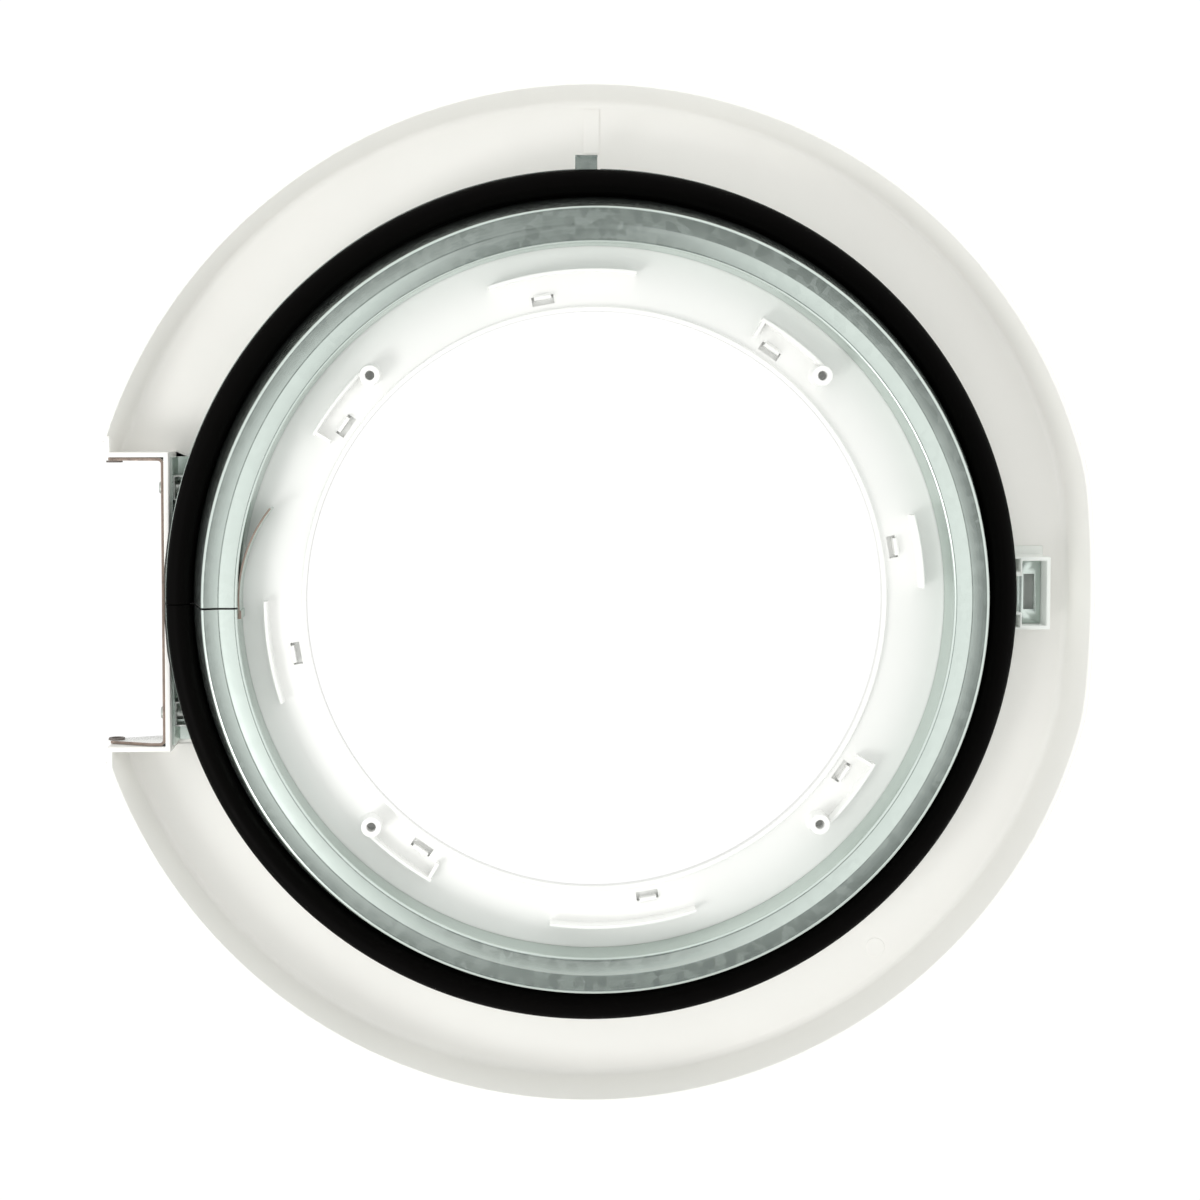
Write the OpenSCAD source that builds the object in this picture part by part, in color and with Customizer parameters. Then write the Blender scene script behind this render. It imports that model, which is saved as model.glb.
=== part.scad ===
// Round tumble dryer door as it is stocked: white front panel, window bezel without its glass,
// galvanised barrel ring with its rubber seal, hinge hardware on the left of the back and the
// latch socket on the right. Every piece is laid out on its back, with the door's axis along z
// and the drum side up, and stood upright at the end: X right, Z up, drum side towards -Y.

/* [Front panel] */
// Radius of the round outline at the back rim
panel_r = 258; // [252:1:275]
// Depth of the panel from its front face to its back rim
panel_depth = 30; // [28:0.5:36]
// Wall thickness of the panel moulding
panel_wall = 2.5; // [2:0.1:3]
// How much smaller the outline is at the front face than at the rim
panel_draft = 4; // [2:0.5:6]
// Rounding of the edge between the front face and the side wall
panel_edge_r = 6; // [4:0.5:8]
// Rounding of the back rim's outer edge
rim_edge_r = 0.8; // [0.4:0.1:1.5]
// How far the latch side is cut back from the round outline
flat_cut = 3.75; // [2:0.25:8]
// Radius of the gentle bow of the latch side
flat_bow_r = 550; // [400:10:900]
// Width of the open channel between the seal flange and the round outline
panel_band = 43.8; // [36:0.2:50]
// How much smaller the porthole in the floor is than the barrel ring's foot
porthole_step = 2.5; // [2:0.1:4]
// How far the outline is cut back beside the hinge notch
corner_cut = 14.5; // [10:0.5:17]
// Height of that cut above and below the notch
corner_height = 8; // [5:0.5:14]

/* [Window bezel] */
// Width of the ledge between the barrel ring's inner wall and the window edge
window_band = 32.4; // [29:0.2:40]
// Wall thickness of the bezel moulding
bezel_wall = 2.5; // [2:0.1:3]
// Height of the shoulder's back surface beside the window lip
shoulder_top = 45; // [43:0.5:47]
// How much lower the shoulder is at its outer edge
shoulder_fall = 6.3; // [4:0.1:8]
// Width of the shoulder outside the barrel ring's inner wall
shoulder_margin = 4.7; // [3:0.1:6]
// Height of the lip around the window above the shoulder
lip_height = 2; // [1:0.1:3]
// Rounding of the lip's edges
lip_edge_r = 0.8; // [0.4:0.1:0.9]
// Height of the foot flange that the panel posts carry
foot_height = 10; // [8:0.5:12]
// Width of the foot flange outside the skirt
foot_rim = 6.4; // [6:0.1:7]
// Space between the foot flange and the hinge notch wall
foot_gap = 0.7; // [0.4:0.1:2]

/* [Glass seat] */
// Distance of the clamp boss circle outside the window edge
boss_inset = 14.2; // [13:0.2:15]
// Outer diameter of a boss
boss_d = 10; // [9:0.2:11]
// Height of a boss above the shoulder's inner edge
boss_height = 10; // [8:0.5:12]
// Pilot hole diameter in a boss
boss_hole_d = 4.6; // [4:0.1:5.4]
// Depth of the pilot hole
boss_hole_depth = 9.5; // [7:0.5:11]
// Distance of the locating ribs outside the window edge
rib_inset = 20.1; // [19:0.1:22]
// Height of the locating ribs above the shoulder
rib_height = 8; // [5:0.5:10]
// Thickness of the locating ribs
rib_t = 1.6; // [1.2:0.1:2]
// Length of a corner rib's end wall towards the window
rib_turn = 9; // [6:0.5:9]

/* [Front trim ring] */
// Thickness of the trim ring
trim_t = 2; // [1.5:0.1:2.5]
// Width of the trim ring
trim_width = 22; // [18:0.5:26]
// Number of snap hooks and of the clip windows that take them
clip_count = 8; // [4, 8]
// Angle of the first clip window
clip_angle = 10; // [8:0.5:11]
// Distance of the clip windows outside the window edge
clip_inset = 7.6; // [7:0.1:8]
// Length of a clip window
clip_length = 11; // [8:0.5:12]
// Width of a clip window
clip_width = 4.5; // [4:0.1:5]
// Thickness of a snap arm
hook_t = 1.5; // [1.2:0.1:1.8]
// How far a snap arm's barb grips over the shoulder
barb_reach = 1.2; // [0.8:0.1:1.6]

/* [Barrel ring] */
// How much narrower the outer wall is at the crown
barrel_lean = 8.3; // [6:0.1:10]
// Width of the crown between the outer and the inner wall
crown_width = 17.4; // [16:0.1:19]
// Sheet thickness of the ring
barrel_sheet = 1; // [0.8:0.1:1.2]
// Height of the crown above the front face
crown_top = 62; // [59:0.5:68]
// Distance of the crown's crease from the inner wall
crease_offset = 9.2; // [7:0.1:11]
// Depth of the crease
crease_depth = 1.6; // [0.8:0.1:2.5]
// Bend radius of the crown edges
crown_bend_r = 1.5; // [1.3:0.1:2]
// Width of the flange that shows outside the seal
flange_edge = 0.8; // [0.4:0.1:2]
// Step of the flange below the panel's back rim
flange_step = 1.8; // [1.2:0.1:3]
// Gap between the two ends of the ring
seam_gap = 1; // [0.6:0.1:1.5]
// Distance of the seam below the door's middle
seam_drop = 2.5; // [2:0.1:4]

/* [Joint tongue] */
// Radius to which the free joint tongue has sprung
tongue_r = 71.8; // [60:0.2:90]
// Angle that the free part of the tongue covers
tongue_angle = 38.5; // [30:0.5:42]
// Height of the tongue's raw edge below the crown
tongue_drop = 2.6; // [2.4:0.1:4]
// Gap between the tongue's lower edge and the shoulder
tongue_clear = 3; // [1:0.5:6]

/* [Seal] */
// Width of the seal section
seal_width = 12.7; // [12:0.1:14]
// Height of the straight foot of the seal
seal_foot = 3.8; // [3.2:0.1:5]
// Width of the channel that clears the ring screws
channel_width = 6.7; // [6.2:0.1:7.5]
// Depth of that channel
channel_depth = 2.2; // [1.8:0.1:2.4]
// Width of the gap at the seal joint
seal_joint_gap = 0.5; // [0.3:0.1:1]

/* [Hinge] */
// Sheet thickness of the hinge bracket
bracket_sheet = 1.5; // [1.2:0.1:1.8]
// Depth of the bracket across the door's thickness
bracket_depth = 25; // [22:0.5:26]
// Top inner face of the hinge notch above the door's middle
notch_top = 70.5; // [68:0.5:74]
// Bottom inner face of the hinge notch below the door's middle
notch_bottom = 74.5; // [72:0.5:78]
// Distance from the bracket web to the hinge pin axis
pin_reach = 25; // [20:0.5:28]
// Height of the hinge pin axis above the front face
pin_height = 16; // [15:0.5:16.5]
// Diameter of the hinge pin bore
pin_d = 5; // [4:0.1:5.6]
// Radius of the bracket ear around the pin
ear_r = 4.5; // [4.3:0.1:6]
// Distance of the hinge screws from the ends of the notch
screw_inset = 15.5; // [12:0.5:17]
// Thread diameter of the hinge screws
screw_d = 4; // [3.5:0.1:4.5]
// Length of the hinge screws below their heads
screw_length = 9.5; // [8:0.5:10]
// Distance of the rivets from the ends of the notch
rivet_inset = 34; // [30:0.5:38]
// Shank radius of the rivets
rivet_r = 1.5; // [1.2:0.1:2]
// Sheet thickness of the reinforcement behind the notch
plate_sheet = 1.2; // [1:0.1:1.5]
// Width of the reinforcement's foot on the panel floor
plate_foot = 12; // [8:0.5:12]
// Gap between the reinforcement's upper edge and the seal flange
plate_headroom = 3.2; // [2:0.1:5]

/* [Nut clips] */
// Sheet thickness of a nut clip
clip_sheet = 0.8; // [0.6:0.1:1]
// Height of a nut clip along the reinforcement
clip_height = 12.5; // [11:0.5:13]
// Depth of a nut clip across the door's thickness
clip_depth = 13; // [10:0.5:13]
// How far a nut clip's long leaf stands off the reinforcement
leaf_length = 6.3; // [5:0.1:6.5]
// Height of a nut clip's threaded collar
collar_height = 3.6; // [3:0.1:4]

/* [Latch socket] */
// How far the socket reaches in under the seal flange
socket_tuck = 0.7; // [0.2:0.1:1.5]
// Length of the socket along the door's radius
socket_length = 19.5; // [18.5:0.5:22]
// Height of the socket's top wall above the door's middle
socket_up = 19.5; // [18:0.5:22]
// Depth of the socket's bottom wall below the door's middle
socket_down = 17.5; // [16:0.5:20]
// Gap between the socket's rim and the seal flange
socket_headroom = 3.2; // [2:0.1:5]
// Wall thickness of the socket
socket_wall = 2; // [1.6:0.1:2.2]
// Thickness of the socket's side towards the seal
socket_cheek = 5; // [4.5:0.1:6]
// Thickness of the socket's floor
socket_floor_t = 2.5; // [2:0.1:4]
// Sheet thickness of the strike
strike_sheet = 1.2; // [1:0.1:1.5]
// Height of the strike above the socket floor
strike_height = 8.2; // [7:0.2:10]
// Width of the slot that the latch hook enters
strike_slot_width = 5.4; // [5:0.1:6]
// Length of that slot
strike_slot_length = 18; // [14:0.5:20]

/* [Screws and fits] */
// Number of screws between the bezel foot and the panel
foot_screw_count = 8; // [4, 8]
// Number of screws that hold the barrel ring
ring_screw_count = 6; // [3, 6]
// Thread diameter of those screws
small_screw_d = 3; // [2.6:0.1:3.2]
// Free gap left round pieces that sit in one another
seat_gap = 0.3; // [0.2:0.05:0.4]
// Radial gap of shanks and bushes in their holes
shank_gap = 0.1; // [0.05:0.05:0.2]

/* [Hidden] */
$fn = 128;
// Facets asked of small holes, shanks and posts
small_fn = 32;
// Overrun of a cut past the face that it opens
over = 1;
// Depth to which posts and ribs root in their wall
root = 0.5;

// Rim stack from the outline inwards: flange, seal, barrel ring, then what lies under the flange
flange_r = panel_r - panel_band;
seal_r = flange_r - flange_edge - seal_width / 2;
barrel_base_r = seal_r - seal_width / 2 - 2 * shank_gap;
porthole_r = barrel_base_r - porthole_step;
notch_x = flange_r + seat_gap;
wall_x = notch_x - panel_wall;
foot_r = wall_x - foot_gap;
skirt_r = foot_r - foot_rim;
foot_hole_r = skirt_r + foot_rim / 2;

// Barrel ring radii at the crown, and the window inside it
barrel_crown_r = barrel_base_r - barrel_lean;
barrel_bore_r = barrel_crown_r - crown_width;
window_r = barrel_bore_r - window_band;

// Seat heights, from the front face back
flange_top = panel_depth - flange_step;
flange_under = flange_top - barrel_sheet;
foot_top = foot_height + bezel_wall;
lip_top = shoulder_top + lip_height;
boss_top = shoulder_top + boss_height;
boss_root_z = -bezel_wall / 2;

// Window fittings
lip_r = window_r + bezel_wall;
boss_circle_r = window_r + boss_inset;
rib_r = window_r + rib_inset;
clip_r = window_r + clip_inset;
funnel_r = barrel_bore_r + barrel_sheet + shoulder_margin;
bezel_front_r = porthole_r - seat_gap;
// Angles between which the four long locating ribs run
long_ribs = [[83, 109], [180, 198], [262, 288], [2, 15]];
// Angle that a corner rib covers beside its boss
corner_rib_angle = 14;

// Hinge positions, left of the axis
web_x = notch_x + bracket_sheet;
pin_x = web_x + pin_reach;
plate_x = wall_x - plate_sheet;
corner_x = panel_r - corner_cut;
bracket_front = pin_height - bracket_depth / 2;
bracket_top = notch_top - seat_gap;
bracket_bottom = -notch_bottom + seat_gap;
screw_up = notch_top - screw_inset;
screw_down = notch_bottom - screw_inset;
rivet_up = notch_top - rivet_inset;
rivet_down = notch_bottom - rivet_inset;

// Screw circles: the first screw of each stands at this angle
foot_screw_angle = 22.5;
ring_screw_angle = 30;

function unit(v) = v / norm(v);
function left(v) = [-v[1], v[0]];
function mitre(a, b) = let (m = unit(a + b)) m / (m * a);
function reversed(v) = [for (i = [len(v) - 1 : -1 : 0]) v[i]];
// Points on an arc, both ends included
function arc(c, r, a0, a1, n) =
    [for (i = [0 : n]) let (a = a0 + (a1 - a0) * i / n) c + r * [cos(a), sin(a)]];
// A path moved to its left by t, with mitred corners
function beside(p, t) =
    let (k = len(p) - 1, n = [for (i = [0 : k - 1]) left(unit(p[i + 1] - p[i]))])
    [for (i = [0 : k]) p[i] + t * (i == 0 ? n[0] : i == k ? n[k - 1] : mitre(n[i - 1], n[i]))];
// The outline of a sheet of thickness t on the left of a path
function sheet(p, t) = concat(p, reversed(beside(p, t)));
// Height of the shoulder's back surface at radius r
function shoulder_z(r) = shoulder_top - shoulder_fall * (r - window_r) / (funnel_r - window_r);

module stand() {
    rotate([90, 0, 0]) children();
}

module ring_of(count, first, r) {
    for (i = [0 : count - 1])
        rotate([0, 0, first + i * 360 / count])
            translate([r, 0, 0])
                children();
}

module arc_wall(r, t, z0, z1, a0, a1) {
    rotate([0, 0, a0])
        rotate_extrude(angle = a1 - a0)
            translate([r - t / 2, z0])
                square([t, z1 - z0]);
}

module along_x(x, y, z) {
    translate([x, y, z]) rotate([0, 90, 0]) children();
}

module peg(d, z0, z1) {
    translate([0, 0, z0]) cylinder(d = d, h = z1 - z0, $fn = small_fn);
}

module block(x0, x1, y0, y1, z0, z1) {
    translate([x0, y0, z0]) cube([x1 - x0, y1 - y0, z1 - z0]);
}

// Front panel

function dish_profile(r, inset, base, top, edge) =
    let (front_r = r - panel_draft - inset, e = panel_edge_r - inset,
         slope = panel_draft / (panel_depth - panel_edge_r),
         rim_r = front_r + slope * (top - base - e))
    concat([[0, base]], arc([front_r - e, base + e], e, -90, 0, 6),
           arc([rim_r - edge, top - edge], edge, 0, 90, 3), [[0, top]]);

module dish(inset, base, top, edge) {
    intersection() {
        rotate_extrude() polygon(dish_profile(panel_r, inset, base, top, edge));
        translate([panel_r - flat_cut - flat_bow_r, 0, 0])
            rotate_extrude($fn = 256) polygon(dish_profile(flat_bow_r, inset, base, top, edge));
    }
}

// Space left of the hinge line, grown on every side by the wall that bounds it
module notch_space(grow) {
    reach = panel_r + over;
    top = panel_depth + over;
    block(-reach, grow - notch_x, -notch_bottom - grow, notch_top + grow, -over, top);
    block(-reach, grow - corner_x, -notch_bottom - corner_height - grow,
          notch_top + corner_height + grow, -over, top);
}

module panel_shell() {
    difference() {
        dish(0, 0, panel_depth, rim_edge_r);
        notch_space(0);
        difference() {
            dish(panel_wall, panel_wall, panel_depth + over, 0.1);
            notch_space(panel_wall);
        }
        translate([0, 0, -over]) cylinder(r = porthole_r, h = panel_wall + 2 * over);
        // The notch wall is cut down where the seal flange crosses it
        translate([0, 0, flange_under - seat_gap]) cylinder(r = notch_x + root, h = panel_depth);
    }
}

// Low gate rib at the top of the floor and the round mark of an ejector pin
gate_rib = [8, 22, 0.7];
ejector_mark_r = 5;
ejector_mark_h = 0.3;
ejector_mark_angle = -51.3;

module moulding_marks() {
    translate([-gate_rib[0] / 2, panel_r - 1.5 * gate_rib[1], panel_wall - root])
        cube(gate_rib + [0, 0, root]);
    rotate([0, 0, ejector_mark_angle])
        translate([panel_r - 4 * ejector_mark_r, 0, panel_wall - root])
            cylinder(r = ejector_mark_r, h = root + ejector_mark_h, $fn = 48);
}

module hinge_holes(x, length) {
    for (y = [screw_up, -screw_down])
        along_x(x, y, pin_height) peg(screw_d + 4 * shank_gap, 0, length);
    for (y = [rivet_up, -rivet_down])
        along_x(x, y, pin_height) peg(2 * (rivet_r + shank_gap), 0, length);
}

module front_panel() {
    color("white") stand() difference() {
        union() {
            panel_shell();
            moulding_marks();
            ring_of(foot_screw_count, foot_screw_angle, foot_hole_r)
                peg(2 * small_screw_d, panel_wall - root, foot_height);
        }
        ring_of(foot_screw_count, foot_screw_angle, foot_hole_r)
            peg(small_screw_d + 2 * shank_gap, panel_wall + root, foot_height + over);
        hinge_holes(-notch_x - over, panel_wall + 2 * over);
    }
}

// Window bezel

function bezel_section() =
    let (w = bezel_wall, e = lip_edge_r, bend = 0.6 * bezel_wall)
    concat(
        [[bezel_front_r, 0], [bezel_front_r, foot_height], [foot_r, foot_height],
         [foot_r, foot_top], [skirt_r, foot_top], [skirt_r, flange_under],
         [skirt_r - w, flange_under], [skirt_r - w, foot_top], [bezel_front_r - bend, foot_top],
         [funnel_r, shoulder_z(funnel_r)], [lip_r, shoulder_z(lip_r)]],
        arc([lip_r - e, lip_top - e], e, 0, 90, 3),
        arc([window_r + e, lip_top - e], e, 90, 180, 3),
        [[window_r, shoulder_z(window_r) - w], [funnel_r - w, shoulder_z(funnel_r) - w],
         [bezel_front_r - w, foot_height - bend], [bezel_front_r - w, 0]]
    );

// Rib that runs on from a boss and turns in towards the window
module corner_rib(a) {
    z0 = shoulder_z(rib_r) - root;
    z1 = shoulder_z(rib_r) + rib_height;
    r = rib_r - rib_t;
    arc_wall(r, rib_t, z0, z1, a + 1, a + corner_rib_angle + 0.5);
    rotate([0, 0, a + corner_rib_angle])
        block(r - rib_turn, r + rib_t / 8, -rib_t / 2, rib_t / 2, z0, z1 - rib_t / 2);
}

module long_rib(a0, a1) {
    arc_wall(rib_r, rib_t, shoulder_z(rib_r) - root, shoulder_z(rib_r) + rib_height, a0, a1);
}

module clip_window() {
    block(-clip_width / 2, clip_width / 2, -clip_length / 2, clip_length / 2,
          shoulder_z(funnel_r) - bezel_wall, shoulder_top + over);
}

module window_bezel() {
    color("whitesmoke") stand() difference() {
        union() {
            rotate_extrude() polygon(bezel_section());
            ring_of(ring_screw_count, ring_screw_angle, seal_r)
                peg(2.3 * small_screw_d, foot_top - root, flange_under);
            ring_of(4, 45, boss_circle_r)
                translate([0, 0, shoulder_z(boss_circle_r) + boss_root_z])
                    cylinder(d = boss_d, h = boss_top - shoulder_z(boss_circle_r) - boss_root_z);
            for (a = [45 : 90 : 315]) corner_rib(a);
            for (s = long_ribs) long_rib(s[0], s[1]);
        }
        ring_of(4, 45, boss_circle_r)
            translate([0, 0, boss_top - boss_hole_depth])
                cylinder(d = boss_hole_d, h = boss_hole_depth + over);
        ring_of(clip_count, clip_angle, clip_r) clip_window();
        ring_of(ring_screw_count, ring_screw_angle, seal_r)
            peg(small_screw_d + 2 * shank_gap, foot_top + over, flange_under + over);
        ring_of(foot_screw_count, foot_screw_angle, foot_hole_r)
            peg(small_screw_d + 4 * shank_gap, foot_height - over, foot_top + over);
    }
}

// Front trim ring, snapped to the front of the bezel through the clip windows

trim_inner_r = window_r + 2 * seat_gap;
trim_r = trim_inner_r + trim_width;
hook_width = clip_length - 2 * (seat_gap + over);
barb_z = shoulder_z(clip_r - clip_width / 2) + seat_gap;
barb_height = 2 * barb_reach;

function trim_back_z(r) = shoulder_z(r) - bezel_wall - seat_gap;

function trim_section() =
    let (z0 = trim_back_z(trim_inner_r), z1 = trim_back_z(trim_r))
    [
        [trim_inner_r, z0], [trim_inner_r, z0 - 1.6 * trim_t],
        [trim_inner_r + trim_t, z0 - 1.8 * trim_t], [trim_r, z1 - trim_t], [trim_r, z1]
    ];

function hook_section() =
    let (x = clip_width / 2 - seat_gap, z0 = trim_back_z(clip_r) - trim_t / 2)
    [
        [x - hook_t, z0], [x, z0], [x, barb_z], [x + barb_reach, barb_z],
        [x, barb_z + barb_height], [x - hook_t, barb_z + barb_height]
    ];

module hook() {
    rotate([90, 0, 0])
        translate([0, 0, -hook_width / 2])
            linear_extrude(hook_width) polygon(hook_section());
}

module front_trim_ring() {
    color("gainsboro") stand() {
        rotate_extrude() polygon(trim_section());
        ring_of(clip_count, clip_angle, clip_r) hook();
    }
}

// Barrel ring: one rolled strip that carries the seal, with its free joint tongue

function barrel_path() =
    let (b = crown_bend_r, ridge = crown_top - b, inner_drop = crease_depth / 5)
    concat(
        [[flange_r, flange_top], [barrel_base_r, flange_top]],
        arc([barrel_crown_r - b, ridge], b, 14, 90, 4),
        [[barrel_bore_r + crease_offset, crown_top - crease_depth]],
        arc([barrel_bore_r + b, ridge - inner_drop], b, 90, 180, 4),
        [[barrel_bore_r, shoulder_z(barrel_bore_r) + seat_gap]]
    );

// The tongue springs inwards from a tab on the ring's bore, just past the seam
module tongue() {
    t = barrel_sheet;
    // Angle by which the arc runs on into the tab
    root_angle = 5;
    z1 = crown_top - tongue_drop;
    z0 = shoulder_z(barrel_bore_r) + tongue_clear;
    x0 = -barrel_bore_r - t / 2;
    y1 = -seam_drop - seam_gap;
    block(x0, x0 + 2.2 * t, y1 - 4 * t, y1, z0 + t / 2, z1 - t / 2);
    translate([tongue_r - barrel_bore_r + 0.4 * t, 1.5 * t, 0])
        arc_wall(tongue_r - t / 2, t, z0, z1, 180 - tongue_angle, 180 + root_angle);
}

// Lug that is turned up out of the flange at the top of the door, beside a small slit
lug_width = 11;
lug_reach = 6.5;
lug_height = 3.4;
lug_slit = 1.6;

module flange_lug() {
    x1 = lug_slit;
    y1 = flange_r + lug_reach;
    block(x1 - lug_width, x1, flange_r - 3, y1, flange_under, flange_top);
    block(x1 - lug_width, x1, y1 - barrel_sheet, y1, flange_under, flange_under + lug_height);
}

module seam_cut(gap, r0, r1) {
    block(-r1, -r0, -seam_drop - gap / 2, -seam_drop + gap / 2, 0, 2 * crown_top);
}

module barrel_ring() {
    color("lightgrey") stand() {
        difference() {
            union() {
                rotate_extrude() polygon(sheet(barrel_path(), barrel_sheet));
                flange_lug();
            }
            seam_cut(seam_gap, barrel_bore_r - over, flange_r + over);
            block(lug_slit, 2 * lug_slit, flange_r - 2.5, flange_r + over,
                  flange_under - over, flange_top + over);
            ring_of(ring_screw_count, ring_screw_angle, seal_r)
                peg(small_screw_d + 4 * shank_gap, flange_under - over, flange_top + over);
        }
        tongue();
    }
}

// Seal: round-topped strip with a channel over the ring screws

function seal_section() =
    let (h = seal_width / 2, c = channel_width / 2)
    concat(
        [[seal_r - h, flange_top], [seal_r - c, flange_top],
         [seal_r - c, flange_top + channel_depth], [seal_r + c, flange_top + channel_depth],
         [seal_r + c, flange_top], [seal_r + h, flange_top]],
        arc([seal_r, flange_top + seal_foot], h, 0, 180, 12)
    );

module door_seal() {
    color([0.08, 0.08, 0.08]) stand() difference() {
        rotate_extrude() polygon(seal_section());
        seam_cut(seal_joint_gap, seal_r - seal_width, seal_r + seal_width);
    }
}

// Hinge bracket

bush_wall = 0.7;
bush_r = pin_d / 2 + bush_wall;
bush_flange_r = ear_r - 4 * shank_gap;
bush_flange_t = 1;
bracket_bend_r = 3;
// Length over which the bracket's ends stay at their full depth
bracket_shoulder = 6;

// The bracket as the drum side sees it: web on the right, ends to the left
function bracket_outline() =
    let (r = bracket_bend_r, y1 = bracket_top, y0 = bracket_bottom, x = -notch_x)
    concat([[-pin_x - ear_r, y0]], arc([x - r, y0 + r], r, -90, 0, 5),
           arc([x - r, y1 - r], r, 0, 90, 5), [[-pin_x - ear_r, y1]]);

// The bracket as its end is seen: full depth at the web, an ear round the pin
module bracket_side() {
    z0 = bracket_front;
    z1 = bracket_front + bracket_depth;
    x1 = -web_x - bracket_shoulder;
    polygon([
        [-notch_x, z0], [-notch_x, z1], [x1, z1],
        [-pin_x, pin_height + ear_r], [-pin_x, pin_height - ear_r], [x1, z0]
    ]);
    translate([-pin_x, pin_height]) circle(r = ear_r, $fn = 48);
}

module hinge_bracket() {
    tall = notch_top + notch_bottom;
    color("white") stand() difference() {
        intersection() {
            translate([0, 0, bracket_front])
                linear_extrude(bracket_depth)
                    polygon(sheet(bracket_outline(), bracket_sheet));
            translate([0, tall, 0]) rotate([90, 0, 0])
                linear_extrude(2 * tall) bracket_side();
        }
        translate([-pin_x, tall, pin_height]) rotate([90, 0, 0])
            cylinder(r = bush_r + shank_gap / 2, h = 2 * tall, $fn = 48);
        hinge_holes(-web_x - over, bracket_sheet + 2 * over);
    }
}

// Flanged bush, its flange on the inside of the bracket's ear
module hinge_bush(y, inward) {
    t = bracket_sheet;
    color("dimgray") stand()
        translate([-pin_x, y, pin_height]) rotate([90 * inward, 0, 0]) difference() {
            union() {
                translate([0, 0, -t]) cylinder(r = bush_r, h = t + root, $fn = 48);
                cylinder(r = bush_flange_r, h = bush_flange_t, $fn = 48);
            }
            translate([0, 0, -2 * t]) cylinder(d = pin_d, h = 4 * t + bush_flange_t, $fn = 48);
        }
}

// Galvanised angle behind the notch wall that takes the hinge screws, open in its middle
module hinge_reinforcement() {
    past_rivet = 6;
    z0 = panel_wall;
    color("darkgray") stand() difference() {
        union() {
            block(-wall_x, plate_foot - wall_x, -notch_bottom, notch_top, z0, z0 + plate_sheet);
            for (s = [[-notch_bottom, past_rivet - rivet_down], [rivet_up - past_rivet, notch_top]])
                block(-wall_x, -plate_x, s[0], s[1], z0, flange_under - plate_headroom);
        }
        hinge_holes(-wall_x - over, plate_sheet + 2 * over);
    }
}

// Cross-slotted pan head screw along x, its head outside the web
module hinge_screw(y) {
    head_r = 0.95 * screw_d;
    head_h = 0.6 * screw_d;
    slot_w = 0.18 * head_r;
    slot_h = 0.6 * head_h;
    color("silver") stand() along_x(-web_x, y, pin_height) difference() {
        union() {
            peg(screw_d, 0, screw_length);
            translate([0, 0, -head_h])
                cylinder(r1 = 0.75 * head_r, r2 = head_r, h = head_h, $fn = small_fn);
        }
        for (a = [0, 90])
            rotate([0, 0, a])
                block(-head_r / 2, head_r / 2, -slot_w, slot_w, -head_h - over, slot_h - head_h);
    }
}

// Spring nut behind the reinforcement, its long leaf towards the notch wall's end
module nut_clip(y, side) {
    t = clip_sheet;
    half = clip_height / 2;
    z1 = clip_depth / 2;
    hook = 0.2 * clip_height;
    color("darkgray") stand()
        translate([-plate_x, y, pin_height]) mirror([0, side < 0 ? 1 : 0, 0]) difference() {
            union() {
                block(0, t, -half, half, -z1, z1);
                block(0, leaf_length, half - t, half, -z1, z1);
                block(leaf_length - t, leaf_length, half - hook, half, -z1, z1);
                block(0, leaf_length / 2, -half, t - half, -z1, z1);
                along_x(0, 0, 0) peg(1.7 * screw_d, 0, collar_height);
            }
            along_x(0, 0, 0) peg(screw_d + 2 * shank_gap, -over, collar_height + over);
        }
}

// Solid rivet through web, notch wall and reinforcement
module hinge_rivet(y) {
    grip = bracket_sheet + panel_wall + plate_sheet;
    head_r = 1.7 * rivet_r;
    head_h = 0.6 * rivet_r;
    color("gray") stand() along_x(-web_x, y, pin_height) {
        peg(2 * rivet_r, 0, grip);
        translate([0, 0, -head_h])
            cylinder(r1 = rivet_r, r2 = head_r, h = head_h, $fn = small_fn);
        translate([0, 0, grip])
            cylinder(r1 = head_r, r2 = rivet_r, h = head_h, $fn = small_fn);
    }
}

// Latch socket on the panel floor

socket_x = flange_r - socket_tuck;
socket_end = socket_x + socket_length;
socket_floor = panel_wall + socket_floor_t;
pocket_x = socket_x + socket_cheek;
strike_top = socket_floor + strike_height;
socket_top = flange_under - socket_headroom;
socket_foot = 1.5;
// Two narrow pits in the cheek, beside the opening where the hook swings in
cheek_pit = [3, 6.5];

module latch_housing() {
    t = socket_wall;
    y0 = -socket_down;
    y1 = socket_up;
    color("white") stand() difference() {
        union() {
            block(socket_x, socket_end, y0, y1, panel_wall, socket_top);
            block(socket_x, socket_end + socket_foot, y0 - socket_foot, y1 + 3 * socket_foot,
                  panel_wall, panel_wall + socket_foot);
        }
        block(pocket_x, socket_end - t, y0 + t, y1 - t, socket_floor, socket_top + over);
        block(socket_x - over, pocket_x + over, y0 / 2, y1 / 2,
              strike_top + strike_sheet, socket_top + over);
        for (y = [y0 + t / 2, y1 - t / 2 - cheek_pit[1]])
            block(socket_x + t / 2, socket_x + t / 2 + cheek_pit[0], y, y + cheek_pit[1],
                  socket_floor, socket_top + over);
    }
}

// Galvanised strike: a bridge on two legs with the slot for the latch hook
module latch_strike() {
    t = strike_sheet;
    x0 = pocket_x + seat_gap;
    x1 = socket_end - socket_wall - seat_gap;
    y0 = -socket_down + socket_wall + seat_gap;
    y1 = socket_up - socket_wall - seat_gap;
    slot = [strike_slot_width, strike_slot_length, strike_top];
    color("darkgray") stand() difference() {
        block(x0, x1, y0, y1, socket_floor, strike_top);
        block(x0 - over, x1 + over, y0 + t, y1 - t, socket_floor - over, strike_top - t);
        translate([(x0 + x1 - slot[0]) / 2, (y0 + y1 - slot[1]) / 2, over]) cube(slot);
    }
}

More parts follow.
